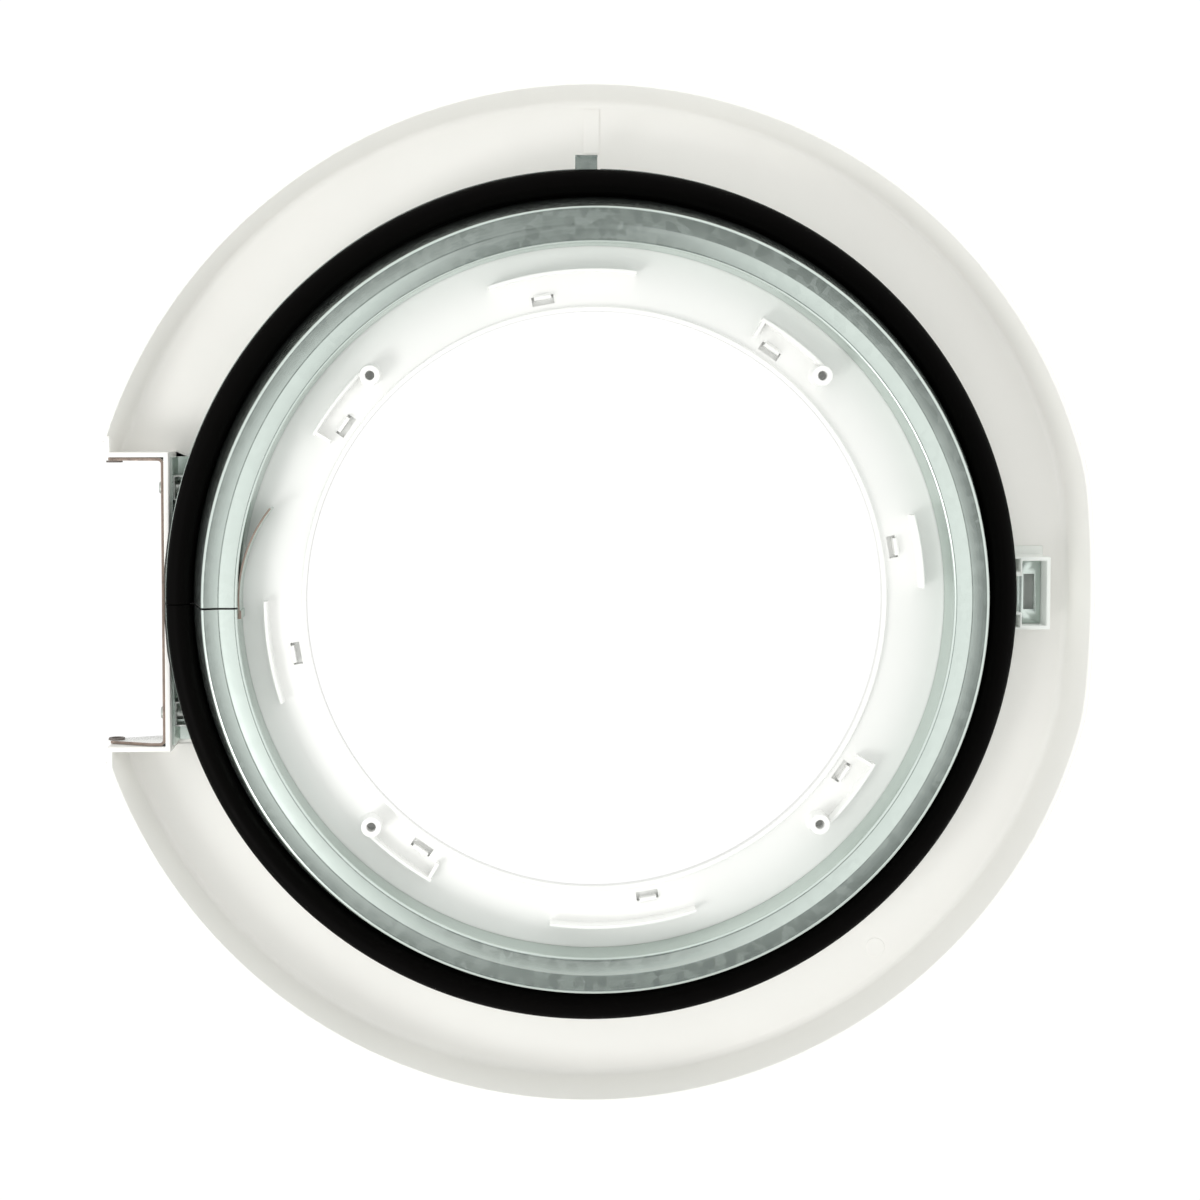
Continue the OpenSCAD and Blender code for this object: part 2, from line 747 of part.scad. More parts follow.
// Small pan head screw pointing down, its head seat at height z
module small_screw(z, length) {
    peg(small_screw_d, z - length, z);
    translate([0, 0, z])
        cylinder(d1 = 1.8 * small_screw_d, d2 = 1.4 * small_screw_d, h = small_screw_d / 2,
                 $fn = small_fn);
}

module foot_screws() {
    color("silver") stand()
        ring_of(foot_screw_count, foot_screw_angle, foot_hole_r)
            small_screw(foot_top, foot_height - panel_wall);
}

module ring_screws() {
    color("silver") stand()
        ring_of(ring_screw_count, ring_screw_angle, seal_r)
            small_screw(flange_top, flange_top - foot_top - 2 * bezel_wall);
}

front_panel();
window_bezel();
front_trim_ring();
barrel_ring();
door_seal();
hinge_bracket();
hinge_reinforcement();
hinge_screw(screw_up);  // hinge_screw_upper
hinge_screw(-screw_down);  // hinge_screw_lower
nut_clip(screw_up, 1);  // nut_clip_upper
nut_clip(-screw_down, -1);  // nut_clip_lower
hinge_bush(bracket_top - bracket_sheet, 1);  // hinge_bush_upper
hinge_bush(bracket_bottom + bracket_sheet, -1);  // hinge_bush_lower
hinge_rivet(rivet_up);  // hinge_rivet_upper
hinge_rivet(-rivet_down);  // hinge_rivet_lower
latch_housing();
latch_strike();
foot_screws();
ring_screws();
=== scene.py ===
import math

import bmesh
import bpy
from mathutils import Matrix, Vector


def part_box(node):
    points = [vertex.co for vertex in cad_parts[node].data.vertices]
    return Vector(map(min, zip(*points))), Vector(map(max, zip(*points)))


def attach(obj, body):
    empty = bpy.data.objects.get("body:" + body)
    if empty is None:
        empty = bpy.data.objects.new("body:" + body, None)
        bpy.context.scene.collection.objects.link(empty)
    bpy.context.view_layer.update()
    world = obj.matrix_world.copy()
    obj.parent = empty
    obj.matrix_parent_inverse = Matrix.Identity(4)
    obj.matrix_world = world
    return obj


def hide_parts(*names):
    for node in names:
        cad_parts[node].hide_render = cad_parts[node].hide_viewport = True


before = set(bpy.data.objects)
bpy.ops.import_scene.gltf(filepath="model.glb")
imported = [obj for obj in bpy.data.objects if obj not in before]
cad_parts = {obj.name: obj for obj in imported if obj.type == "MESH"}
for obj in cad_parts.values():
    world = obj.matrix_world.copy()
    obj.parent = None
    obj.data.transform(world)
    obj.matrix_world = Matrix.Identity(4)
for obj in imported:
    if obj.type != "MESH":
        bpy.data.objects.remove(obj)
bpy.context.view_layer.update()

bl_info = {
    "name": "Tumble dryer door",
    "version": (1, 0, 0),
    "blender": (4, 5, 0),
    "location": "3D View > Sidebar > Dryer Door",
    "description": "Builds the finished pieces of a round tumble dryer door, seen from its drum side",
    "category": "Add Mesh",
}

MM = 0.001
BODY = "root"

# The door's axis, pointing out of the drum side: angles run anticlockwise as the drum side is seen
DRUM_SIDE = Vector((0.0, -1.0, 0.0))
ORIGIN = Vector((0.0, 0.0, 0.0))
FULL_TURN = 2 * math.pi
RING_STEPS = 256
SMALL_STEPS = 32
WELD = 1e-6


def length(label, about, default_mm):
    """A size that a user may change, given in millimetres and held in metres."""
    return bpy.props.FloatProperty(
        name=label, description=about, default=default_mm * MM, min=0.0, precision=5,
        subtype="DISTANCE", unit="LENGTH",
    )


def colour(label, about, default):
    """A finish colour, as linear red, green and blue."""
    return bpy.props.FloatVectorProperty(
        name=label, description=about, default=default, size=3, min=0.0, max=1.0, subtype="COLOR",
    )


def share(label, about, default, highest=1.0):
    """A plain number without a unit."""
    return bpy.props.FloatProperty(
        name=label, description=about, default=default, min=0.0, max=highest, subtype="FACTOR",
    )


def turn(label, about, default_degrees):
    """An angle, given in degrees and held in radians."""
    return bpy.props.FloatProperty(
        name=label, description=about, default=math.radians(default_degrees),
        subtype="ANGLE", unit="ROTATION",
    )


class PanelSizes(bpy.types.PropertyGroup):
    """Sizes of the front panel, the dish that everything else stands in"""

    radius: length("Outline radius", "Radius of the round outline at the back rim", 258)
    depth: length("Depth", "Depth from the front face to the back rim", 30)
    wall: length("Wall", "Wall thickness of the moulding", 2.5)
    draft: length("Draft", "How much smaller the outline is at the front face", 4)
    front_edge: length("Front edge", "Rounding between the front face and the side wall", 6)
    rim_edge: length("Rim edge", "Rounding of the back rim's outer edge", 0.8)
    inner_edge: length("Inner edge", "Rounding of the back rim's inner edge and of the notch", 0.45)
    flat_cut: length("Latch side cut", "How far the latch side is cut back from the round", 3.75)
    flat_bow: length("Latch side bow", "Radius of the gentle bow of the latch side", 550)
    flat_blend: length("Latch side blend", "Softness of the corners between bow and round", 1.2)
    porthole: length("Porthole radius", "Radius of the hole in the floor", 198)
    notch_x: length("Notch wall", "Distance of the hinge notch's wall from the axis", 214.5)
    notch_top: length("Notch top", "Upper end of the hinge notch above the axis", 70.5)
    notch_bottom: length("Notch bottom", "Lower end of the hinge notch below the axis", 74.5)
    corner_x: length("Corner cut", "Distance from the axis at which the notch's corners are cut", 243.5)
    corner_height: length("Corner height", "Height of that cut above and below the notch", 8)


class BezelSizes(bpy.types.PropertyGroup):
    """Sizes of the window bezel and of what stands on it"""

    window: length("Window radius", "Radius of the window opening", 142.4)
    wall: length("Wall", "Wall thickness of the moulding", 2.5)
    shoulder_top: length("Shoulder height", "Height of the shoulder beside the window lip", 45)
    shoulder_fall: length("Shoulder fall", "How much lower the shoulder is at its outer edge", 6.3)
    funnel: length("Funnel radius", "Radius at which the shoulder turns down into the funnel", 180.5)
    lip_height: length("Lip height", "Height of the lip around the window", 2)
    lip_edge: length("Lip edge", "Rounding of the lip's edges", 0.8)
    front: length("Front radius", "Radius of the bezel where it passes the porthole", 197.7)
    foot: length("Foot radius", "Outer radius of the foot flange", 211.3)
    foot_height: length("Foot height", "Height of the foot flange above the front face", 10)
    skirt: length("Skirt radius", "Outer radius of the skirt that carries the barrel ring", 204.9)
    boss_circle: length("Boss circle", "Radius of the circle of the clamp bosses", 156.6)
    boss: length("Boss diameter", "Diameter of a clamp boss", 10)
    boss_height: length("Boss height", "Height of a boss above the shoulder's inner edge", 10)
    pilot: length("Pilot hole", "Diameter of the hole in a boss", 4.6)
    pilot_depth: length("Pilot depth", "Depth of the hole in a boss", 9.5)
    rib_circle: length("Rib circle", "Radius of the long locating ribs", 162.5)
    rib_height: length("Rib height", "Height of the ribs above the shoulder", 8)
    rib: length("Rib thickness", "Thickness of the ribs", 1.6)
    rib_turn: length("Rib end wall", "Length of a corner rib's wall towards the window", 9)
    corner_rib: turn("Corner rib", "Angle that a corner rib covers beside its boss", 14)
    clip_circle: length("Clip circle", "Radius of the circle of the clip windows", 150)
    clip_length: length("Clip length", "Length of a clip window", 11)
    clip_width: length("Clip width", "Width of a clip window", 4.5)
    clip_turn: turn("First clip", "Angle of the first of the eight clip windows", 10)


class RingSizes(bpy.types.PropertyGroup):
    """Sizes of the galvanised barrel ring and of the seal round it"""

    base: length("Base radius", "Radius where the outer wall leaves the flange", 200.5)
    lean: length("Lean", "How much narrower the outer wall is at the crown", 8.3)
    crown: length("Crown width", "Width between the outer and the inner wall", 17.4)
    sheet: length("Sheet", "Thickness of the sheet", 1)
    crown_top: length("Crown height", "Height of the crown above the front face", 62)
    crease_offset: length("Crease place", "Distance of the crease from the inner wall", 9.2)
    crease_depth: length("Crease depth", "Depth of the crease", 1.6)
    bend: length("Bend", "Radius of the crown's bends", 1.5)
    flange: length("Flange radius", "Outer radius of the flange under the seal", 214.2)
    flange_top: length("Flange height", "Height of the flange above the front face", 28.2)
    seam_gap: length("Seam gap", "Gap between the ring's two ends", 1)
    seam_drop: length("Seam drop", "Distance of the seam below the axis", 2.5)
    tongue: length("Tongue radius", "Radius to which the free joint tongue has sprung", 71.8)
    tongue_turn: turn("Tongue length", "Angle that the free tongue covers", 38.5)
    tongue_drop: length("Tongue drop", "Distance of the tongue's edge below the crown", 2.6)
    tongue_clear: length("Tongue clearance", "Gap between the tongue and the shoulder", 3)
    seal_circle: length("Seal circle", "Radius of the seal's middle", 207.05)
    seal_width: length("Seal width", "Width of the seal", 12.7)
    seal_foot: length("Seal foot", "Height of the seal's straight foot", 3.8)
    seal_channel: length("Seal channel", "Width of the channel under the seal", 6.7)
    channel_depth: length("Channel depth", "Depth of that channel", 2.2)
    seal_gap: length("Seal joint", "Gap at the seal's joint", 0.5)


class Finishes(bpy.types.PropertyGroup):
    """Colours and roughness of the door's surfaces"""

    panel_white: colour("Panel white", "Colour of the front panel", (0.92, 0.912, 0.885))
    bezel_white: colour("Bezel white", "Colour of the window bezel", (0.905, 0.91, 0.895))
    latch_white: colour("Latch white", "Colour of the latch housing", (0.84, 0.87, 0.84))
    zinc_sheet: colour("Galvanised sheet", "Colour of the galvanised ring", (0.60, 0.67, 0.635))
    rubber: colour("Seal rubber", "Colour of the seal", (0.0014, 0.0012, 0.0011))
    bare_steel: colour("Bare steel", "Colour of sheared sheet edges", (0.20, 0.155, 0.13))
    screw_zinc: colour("Screw zinc", "Colour of the plated screws and rivets", (0.50, 0.52, 0.50))
    bush: colour("Bush plastic", "Colour of the hinge bushes", (0.13, 0.11, 0.10))


class StudioSettings(bpy.types.PropertyGroup):
    """Camera and light of the stage"""

    distance: length("Camera distance", "Distance of the lens from the back rim's plane", 1030)
    eye_x: length("Camera side step", "How far left of the axis the lens stands", 62)
    eye_z: length("Camera height", "How far above the axis the lens stands", 89)
    frame_width: length("Frame width", "Width of the picture at the back rim's plane", 600)
    key: share("Key light", "Strength of the key light from the lower left", 9.5, 100.0)
    ambient: share("Ambient light", "Strength of the light from all round", 1.22, 10.0)


def cylinder_sides(radius):
    """Sides that keep a small round smooth at its size."""
    return SMALL_STEPS if radius < 4 * MM else 2 * SMALL_STEPS


def place(radius, depth):
    """A point right of the door's axis, at a height above the front face."""
    return Vector((radius, -depth, 0.0))


def plan(x, y, depth):
    """A point of the door as the drum side is seen: x right, y up, depth towards the viewer."""
    return Vector((x, -depth, y))


def about_axis(angle):
    return Matrix.Rotation(angle, 4, DRUM_SIDE)


def bent(points, segments=5):
    """A path in which a third value rounds the corner at its point to that radius."""
    path = []
    for i, (r, z, bend) in enumerate(points):
        here = Vector((r, z))
        if not bend:
            path.append(here)
            continue
        to_last = (Vector(points[i - 1][:2]) - here).normalized()
        to_next = (Vector(points[(i + 1) % len(points)][:2]) - here).normalized()
        half = to_last.angle(to_next) / 2
        centre = here + (to_last + to_next).normalized() * bend / math.sin(half)
        first = here + to_last * bend / math.tan(half) - centre
        last = here + to_next * bend / math.tan(half) - centre
        path += [centre + first.slerp(last, k / segments).normalized() * bend
                 for k in range(segments + 1)]
    return path


def beside(path, distance):
    """The same path moved to its left."""
    moved = []
    for i, here in enumerate(path):
        steps = [b - a for a, b in zip(path[max(i - 1, 0):i + 2], path[max(i - 1, 0) + 1:i + 2])]
        lefts = [Vector((-s.y, s.x)).normalized() for s in steps]
        middle = sum(lefts, Vector((0.0, 0.0))).normalized()
        moved.append(here + middle * distance / middle.dot(lefts[0]))
    return moved


def chain(bm, points, closed):
    """Vertices at the points, joined by edges in their order."""
    verts = [bm.verts.new(p) for p in points]
    pairs = list(zip(verts, verts[1:]))
    if closed:
        pairs.append((verts[-1], verts[0]))
    return verts, [bm.edges.new(pair) for pair in pairs]


def weld(bm):
    bmesh.ops.remove_doubles(bm, verts=bm.verts, dist=WELD)
    bmesh.ops.dissolve_degenerate(bm, edges=bm.edges, dist=WELD)
    bmesh.ops.recalc_face_normals(bm, faces=bm.faces)


def close_ends(bm):
    open_edges = [e for e in bm.edges if e.is_boundary]
    if open_edges:
        bmesh.ops.holes_fill(bm, edges=open_edges, sides=0)


def lathe(bm, profile, centre=ORIGIN, start=0.0, sweep=FULL_TURN, steps=RING_STEPS, closed=True):
    """Spins a profile of radius and height round an axis parallel to the door's."""
    verts, edges = chain(bm, [place(r, z) for r, z in profile], closed)
    bmesh.ops.rotate(bm, verts=verts, cent=ORIGIN, matrix=about_axis(start))
    bmesh.ops.translate(bm, verts=verts, vec=centre)
    full = abs(sweep - FULL_TURN) < 1e-9
    bmesh.ops.spin(bm, geom=verts + edges, cent=centre, axis=DRUM_SIDE, angle=sweep,
                   steps=steps, use_merge=full, use_duplicate=False)
    close_ends(bm)


def peg(bm, radius, z0, z1, centre=ORIGIN, chamfer=0.0):
    """A round solid along the door's axis, its far edge chamfered."""
    profile = [(0.0, z0), (radius, z0), (radius, z1 - chamfer), (radius - chamfer, z1), (0.0, z1)]
    lathe(bm, profile, centre, start=math.radians(7), steps=cylinder_sides(radius), closed=False)


def block(bm, x, y, depth, matrix=Matrix.Identity(4)):
    """A box from the lowest to the highest x, y and depth, then turned by a matrix."""
    size = Vector((x[1] - x[0], depth[1] - depth[0], y[1] - y[0]))
    middle = plan(sum(x) / 2, sum(y) / 2, sum(depth) / 2)
    scale = Matrix.Diagonal(size.to_4d())
    scale[3][3] = 1.0
    bmesh.ops.create_cube(bm, size=1.0, matrix=matrix @ Matrix.Translation(middle) @ scale)


def ring_of(count, first, radius):
    """Centres and turns of a ring of like features."""
    for i in range(count):
        angle = first + i * FULL_TURN / count
        yield about_axis(angle) @ place(radius, 0.0), about_axis(angle)


def skin(bm, loops):
    """Extrudes a closed loop through all the others, which have as many points."""
    order = bm.verts.layers.int.new("order")
    verts, edges = chain(bm, loops[0], True)
    for i, vert in enumerate(verts):
        vert[order] = i
    for loop in loops[1:]:
        grown = bmesh.ops.extrude_edge_only(bm, edges=edges)["geom"]
        edges = [g for g in grown if isinstance(g, bmesh.types.BMEdge)]
        for vert in (g for g in grown if isinstance(g, bmesh.types.BMVert)):
            vert.co = loop[vert[order]]


def new_object(name, bm):
    """A scene object from a bmesh, with merged doubles and outward normals."""
    weld(bm)
    mesh = bpy.data.meshes.new(name)
    bm.to_mesh(mesh)
    bm.free()
    piece = bpy.data.objects.new(name, mesh)
    bpy.context.scene.collection.objects.link(piece)
    return piece


def settle(piece):
    """Replaces a piece's mesh with the one that its modifiers make."""
    bpy.context.view_layer.update()
    graph = bpy.context.evaluated_depsgraph_get()
    made = bpy.data.meshes.new_from_object(piece.evaluated_get(graph))
    old = piece.data
    piece.modifiers.clear()
    piece.data = made
    bpy.data.meshes.remove(old)


def carve(piece, tool_bm, operation):
    """Joins a tool mesh to a piece or cuts it out."""
    tool = new_object("carving_tool", tool_bm)
    step = piece.modifiers.new("carve", "BOOLEAN")
    step.operation = operation
    step.solver = "EXACT"
    step.object = tool
    settle(piece)
    bpy.data.objects.remove(tool)
    if len(piece.data.polygons) == 0:
        raise RuntimeError(f"{piece.name} lost its mesh in a {operation.lower()}")


def smooth(piece, degrees=32):
    piece.data.shade_smooth()
    piece.data.set_sharp_from_angle(angle=math.radians(degrees))


def soften(piece, width, segments=2, degrees=40):
    """Rounds a piece's sharp edges."""
    step = piece.modifiers.new("soft edges", "BEVEL")
    step.width = width
    step.segments = segments
    step.limit_method = "ANGLE"
    step.angle_limit = math.radians(degrees)
    step.profile = 0.5
    step.use_clamp_overlap = True
    settle(piece)


def hand_in(piece, node, slot, *materials):
    """Gives a piece its materials, and puts it in its CAD node's place."""
    piece.name = f"{node}_finish"
    piece.data.name = piece.name
    piece.data.materials.clear()
    for material in materials:
        piece.data.materials.append(material)
    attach(piece, BODY)
    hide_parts(node)


def cad_copy(node, edge, degrees=40):
    """A merged copy of a CAD node's mesh with softened edges."""
    bm = bmesh.new()
    bm.from_mesh(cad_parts[node].data)
    bmesh.ops.remove_doubles(bm, verts=bm.verts, dist=WELD)
    flat = math.radians(1.0)
    bmesh.ops.dissolve_limit(bm, angle_limit=flat, verts=bm.verts, edges=bm.edges)
    piece = new_object(node, bm)
    soften(piece, edge, degrees=degrees)
    smooth(piece)
    return piece


class Tree:
    """Short calls that build one node tree."""

    def __init__(self, tree):
        self.nodes = tree.nodes
        self.links = tree.links

    def add(self, kind, **settings):
        node = self.nodes.new(kind)
        for name, value in settings.items():
            setattr(node, name, value)
        return node

    def feed(self, socket, value):
        """Links an output into a socket, or sets the socket to a constant."""
        if isinstance(value, bpy.types.NodeSocket):
            self.links.new(value, socket)
        else:
            socket.default_value = value

    def math(self, operation, a, b=0.0, clamp=False):
        node = self.add("ShaderNodeMath", operation=operation, use_clamp=clamp)
        self.feed(node.inputs[0], a)
        self.feed(node.inputs[1], b)
        return node.outputs[0]

    def noise(self, vector, scale, detail=2.0, rough=0.5):
        node = self.add("ShaderNodeTexNoise")
        self.feed(node.inputs["Vector"], vector)
        self.feed(node.inputs["Scale"], scale)
        node.inputs["Detail"].default_value = detail
        node.inputs["Roughness"].default_value = rough
        return node.outputs["Fac"]

    def spread(self, value, low, high, to_low, to_high):
        """Maps a range of values on to another, smoothly and within its ends."""
        node = self.add("ShaderNodeMapRange", interpolation_type="SMOOTHSTEP")
        for socket, given in zip(node.inputs, (value, low, high, to_low, to_high)):
            self.feed(socket, given)
        return node.outputs[0]

    def tint(self, fac, a, b):
        node = self.add("ShaderNodeMix", data_type="RGBA")
        self.feed(node.inputs["Factor"], fac)
        self.feed(node.inputs[6], a)
        self.feed(node.inputs[7], b)
        return node.outputs[2]


def with_alpha(rgb):
    return (rgb[0], rgb[1], rgb[2], 1.0)


def shaded(rgb, factor):
    return with_alpha([min(c * factor, 1.0) for c in rgb])


def effect_group(name, inputs, outputs):
    """An empty shader node group with named inputs and outputs."""
    group = bpy.data.node_groups.new(name, "ShaderNodeTree")
    for label, kind, value in inputs:
        socket = group.interface.new_socket(name=label, in_out="INPUT", socket_type=kind)
        if value is not None:
            socket.default_value = value
    for label, kind in outputs:
        group.interface.new_socket(name=label, in_out="OUTPUT", socket_type=kind)
    tree = Tree(group)
    return group, tree, tree.add("NodeGroupInput").outputs, tree.add("NodeGroupOutput").inputs


def moulding_grain():
    """Slight unevenness of a moulded plastic surface: tone, gloss and relief."""
    name = "moulding grain"
    if name in bpy.data.node_groups:
        return bpy.data.node_groups[name]
    group, tree, given, out = effect_group(
        name,
        [("Vector", "NodeSocketVector", None), ("Grain", "NodeSocketFloat", 900.0),
         ("Patch", "NodeSocketFloat", 9.0)],
        [("Tone", "NodeSocketFloat"), ("Gloss", "NodeSocketFloat"), ("Height", "NodeSocketFloat")],
    )
    fine = tree.noise(given["Vector"], given["Grain"], detail=3.0)
    broad = tree.noise(given["Vector"], given["Patch"], detail=2.0)
    tree.feed(out["Tone"], tree.spread(broad, 0.3, 0.7, 0.0, 1.0))
    tree.feed(out["Gloss"], tree.math("ADD", tree.math("MULTIPLY", broad, 0.6),
                                      tree.math("MULTIPLY", fine, 0.4)))
    tree.feed(out["Height"], fine)
    return group


def zinc_spangle():
    """Crystal pattern and rolling marks of galvanised sheet."""
    name = "zinc spangle"
    if name in bpy.data.node_groups:
        return bpy.data.node_groups[name]
    group, tree, given, out = effect_group(
        name,
        [("Vector", "NodeSocketVector", None), ("Crystal", "NodeSocketFloat", 160.0),
         ("Rolling", "NodeSocketFloat", 900.0)],
        [("Tone", "NodeSocketFloat"), ("Gloss", "NodeSocketFloat"), ("Height", "NodeSocketFloat")],
    )
    cells = tree.add("ShaderNodeTexVoronoi", feature="F1")
    tree.feed(cells.inputs["Vector"], given["Vector"])
    tree.feed(cells.inputs["Scale"], given["Crystal"])
    crystal = tree.add("ShaderNodeSeparateColor")
    tree.feed(crystal.inputs[0], cells.outputs["Color"])
    across = tree.add("ShaderNodeSeparateXYZ")
    tree.feed(across.inputs[0], given["Vector"])
    squares = [tree.math("MULTIPLY", across.outputs[a], across.outputs[a]) for a in ("X", "Z")]
    radius = tree.math("SQRT", tree.math("ADD", *squares))
    lane = tree.add("ShaderNodeCombineXYZ")
    tree.feed(lane.inputs["X"], radius)
    tree.feed(lane.inputs["Y"], across.outputs["Y"])
    lines = tree.noise(lane.outputs[0], given["Rolling"], detail=3.0)
    cloud = tree.noise(given["Vector"], 35.0, detail=3.0)
    mixed = tree.math("ADD", tree.math("MULTIPLY", crystal.outputs[0], 0.35),
                      tree.math("ADD", tree.math("MULTIPLY", lines, 0.35),
                                tree.math("MULTIPLY", cloud, 0.3)))
    tree.feed(out["Tone"], mixed)
    tree.feed(out["Gloss"], tree.math("ADD", tree.math("MULTIPLY", lines, 0.6),
                                      tree.math("MULTIPLY", crystal.outputs[1], 0.4)))
    tree.feed(out["Height"], lines)
    return group


def new_material(name):
    """A material with its shader, its node tree and Object coordinates."""
    if name in bpy.data.materials:
        return bpy.data.materials[name], None, None, None
    material = bpy.data.materials.new(name)
    material.use_nodes = True
    tree = Tree(material.node_tree)
    shader = tree.nodes["Principled BSDF"]
    return material, tree, shader.inputs, tree.add("ShaderNodeTexCoord").outputs["Object"]


def relief(tree, surface, height, strength, distance):
    bump = tree.add("ShaderNodeBump")
    bump.inputs["Strength"].default_value = strength
    bump.inputs["Distance"].default_value = distance
    tree.feed(bump.inputs["Height"], height)
    tree.feed(surface["Normal"], bump.outputs["Normal"])


def placed_group(tree, group, coords, **values):
    node = tree.add("ShaderNodeGroup", node_tree=group)
    tree.feed(node.inputs["Vector"], coords)
    for label, value in values.items():
        node.inputs[label].default_value = value
    return node.outputs


def moulding(name, rgb, gloss_from, gloss_to):
    """White moulded plastic, slightly uneven in tone and gloss."""
    material, tree, surface, coords = new_material(name)
    if tree is None:
        return material
    grain = placed_group(tree, moulding_grain(), coords, Grain=1400.0, Patch=11.0)
    tree.feed(surface["Base Color"], tree.tint(grain["Tone"], shaded(rgb, 0.985), shaded(rgb, 1.01)))
    tree.feed(surface["Roughness"], tree.spread(grain["Gloss"], 0.3, 0.7, gloss_from, gloss_to))
    relief(tree, surface, grain["Height"], 0.05, 0.1 * MM)
    surface["Specular IOR Level"].default_value = 0.35
    return material


def galvanised(name, rgb, rolling=900.0):
    """Galvanised sheet with faint crystals and rolling marks."""
    material, tree, surface, coords = new_material(name)
    if tree is None:
        return material
    zinc = placed_group(tree, zinc_spangle(), coords, Crystal=260.0, Rolling=rolling)
    tree.feed(surface["Base Color"], tree.tint(zinc["Tone"], shaded(rgb, 0.96), shaded(rgb, 1.04)))
    tree.feed(surface["Roughness"], tree.spread(zinc["Gloss"], 0.2, 0.8, 0.22, 0.27))
    surface["Metallic"].default_value = 1.0
    relief(tree, surface, zinc["Height"], 0.04, 0.05 * MM)
    return material


def seal_rubber(rgb):
    """Black rubber with a faint bloom of dust."""
    material, tree, surface, coords = new_material("seal rubber")
    if tree is None:
        return material
    bloom = tree.noise(coords, 60.0, detail=4.0, rough=0.6)
    grain = tree.noise(coords, 2200.0, detail=2.0)
    tree.feed(surface["Base Color"], tree.tint(bloom, shaded(rgb, 0.7), shaded(rgb, 1.5)))
    tree.feed(surface["Roughness"], tree.spread(bloom, 0.3, 0.7, 0.42, 0.55))
    surface["Specular IOR Level"].default_value = 0.03
    relief(tree, surface, grain, 0.15, 0.05 * MM)
    return material


def bare_steel(rgb):
    """Sheared steel edge, browned and streaked."""
    material, tree, surface, coords = new_material("bare steel edge")
    if tree is None:
        return material
    stain = tree.noise(coords, 260.0, detail=4.0, rough=0.65)
    tree.feed(surface["Base Color"], tree.tint(stain, shaded(rgb, 0.45), shaded(rgb, 2.1)))
    tree.feed(surface["Metallic"], tree.spread(stain, 0.45, 0.75, 0.3, 0.9))
    tree.feed(surface["Roughness"], tree.spread(stain, 0.3, 0.7, 0.6, 0.4))
    relief(tree, surface, stain, 0.4, 0.1 * MM)
    return material


def plated(name, rgb, low, high):
    """Zinc plated small hardware."""
    material, tree, surface, coords = new_material(name)
    if tree is None:
        return material
    haze = tree.noise(coords, 420.0, detail=3.0)
    tree.feed(surface["Base Color"], tree.tint(haze, shaded(rgb, 0.75), shaded(rgb, 1.2)))
    tree.feed(surface["Roughness"], tree.spread(haze, 0.3, 0.7, low, high))
    surface["Metallic"].default_value = 1.0
    relief(tree, surface, haze, 0.1, 0.05 * MM)
    return material


def bush_plastic(rgb):
    """Dark bearing plastic, slightly worn."""
    material, tree, surface, coords = new_material("bush plastic")
    if tree is None:
        return material
    wear = tree.noise(coords, 500.0, detail=3.0)
    tree.feed(surface["Base Color"], tree.tint(wear, shaded(rgb, 0.7), shaded(rgb, 1.5)))
    tree.feed(surface["Roughness"], tree.spread(wear, 0.3, 0.7, 0.4, 0.6))
    relief(tree, surface, wear, 0.1, 0.05 * MM)
    return material


# Front panel

ROUND_POINTS = 240
NOTCH_POINTS = 8
FOOT_SCREWS = 8
FOOT_SCREW_TURN = math.radians(22.5)
FOOT_SCREW_CIRCLE = 208.1 * MM
POST_TOP = 10 * MM
PILOT = 1.6 * MM
EJECTOR_TURN = math.radians(-51.3)
RING_SCREWS = 6
RING_SCREW_TURN = math.radians(30)
SCREW = 3 * MM
HINGE_HOLES = [(55 * MM, 2.2 * MM), (-59 * MM, 2.2 * MM), (36.5 * MM, 1.6 * MM), (-40.5 * MM, 1.6 * MM)]
PIN_HEIGHT = 16 * MM
OVER = 1 * MM


def arc_drop(radius, reach):
    """How far a quarter round of a radius falls back at a distance from its top."""
    return radius - math.sqrt(max(radius ** 2 - max(reach, 0.0) ** 2, 0.0))


def smooth_lower(a, b, blend):
    """The lower of two values, blended where they meet."""
    near = max(blend - abs(a - b), 0.0) / blend
    return min(a, b) - near ** 2 * blend / 4


def notch_end(radius, corner_x, y, corner_height):
    """The points at which the round outline gives way to one end of the notch."""
    meets = math.sqrt(max(radius ** 2 - corner_x ** 2, 0.0))
    reach = min(y + corner_height, max(y, meets))
    edge = -math.sqrt(radius ** 2 - reach ** 2)
    foot = max(edge, -corner_x)
    return [(edge, reach), (foot, reach), (foot, y)]


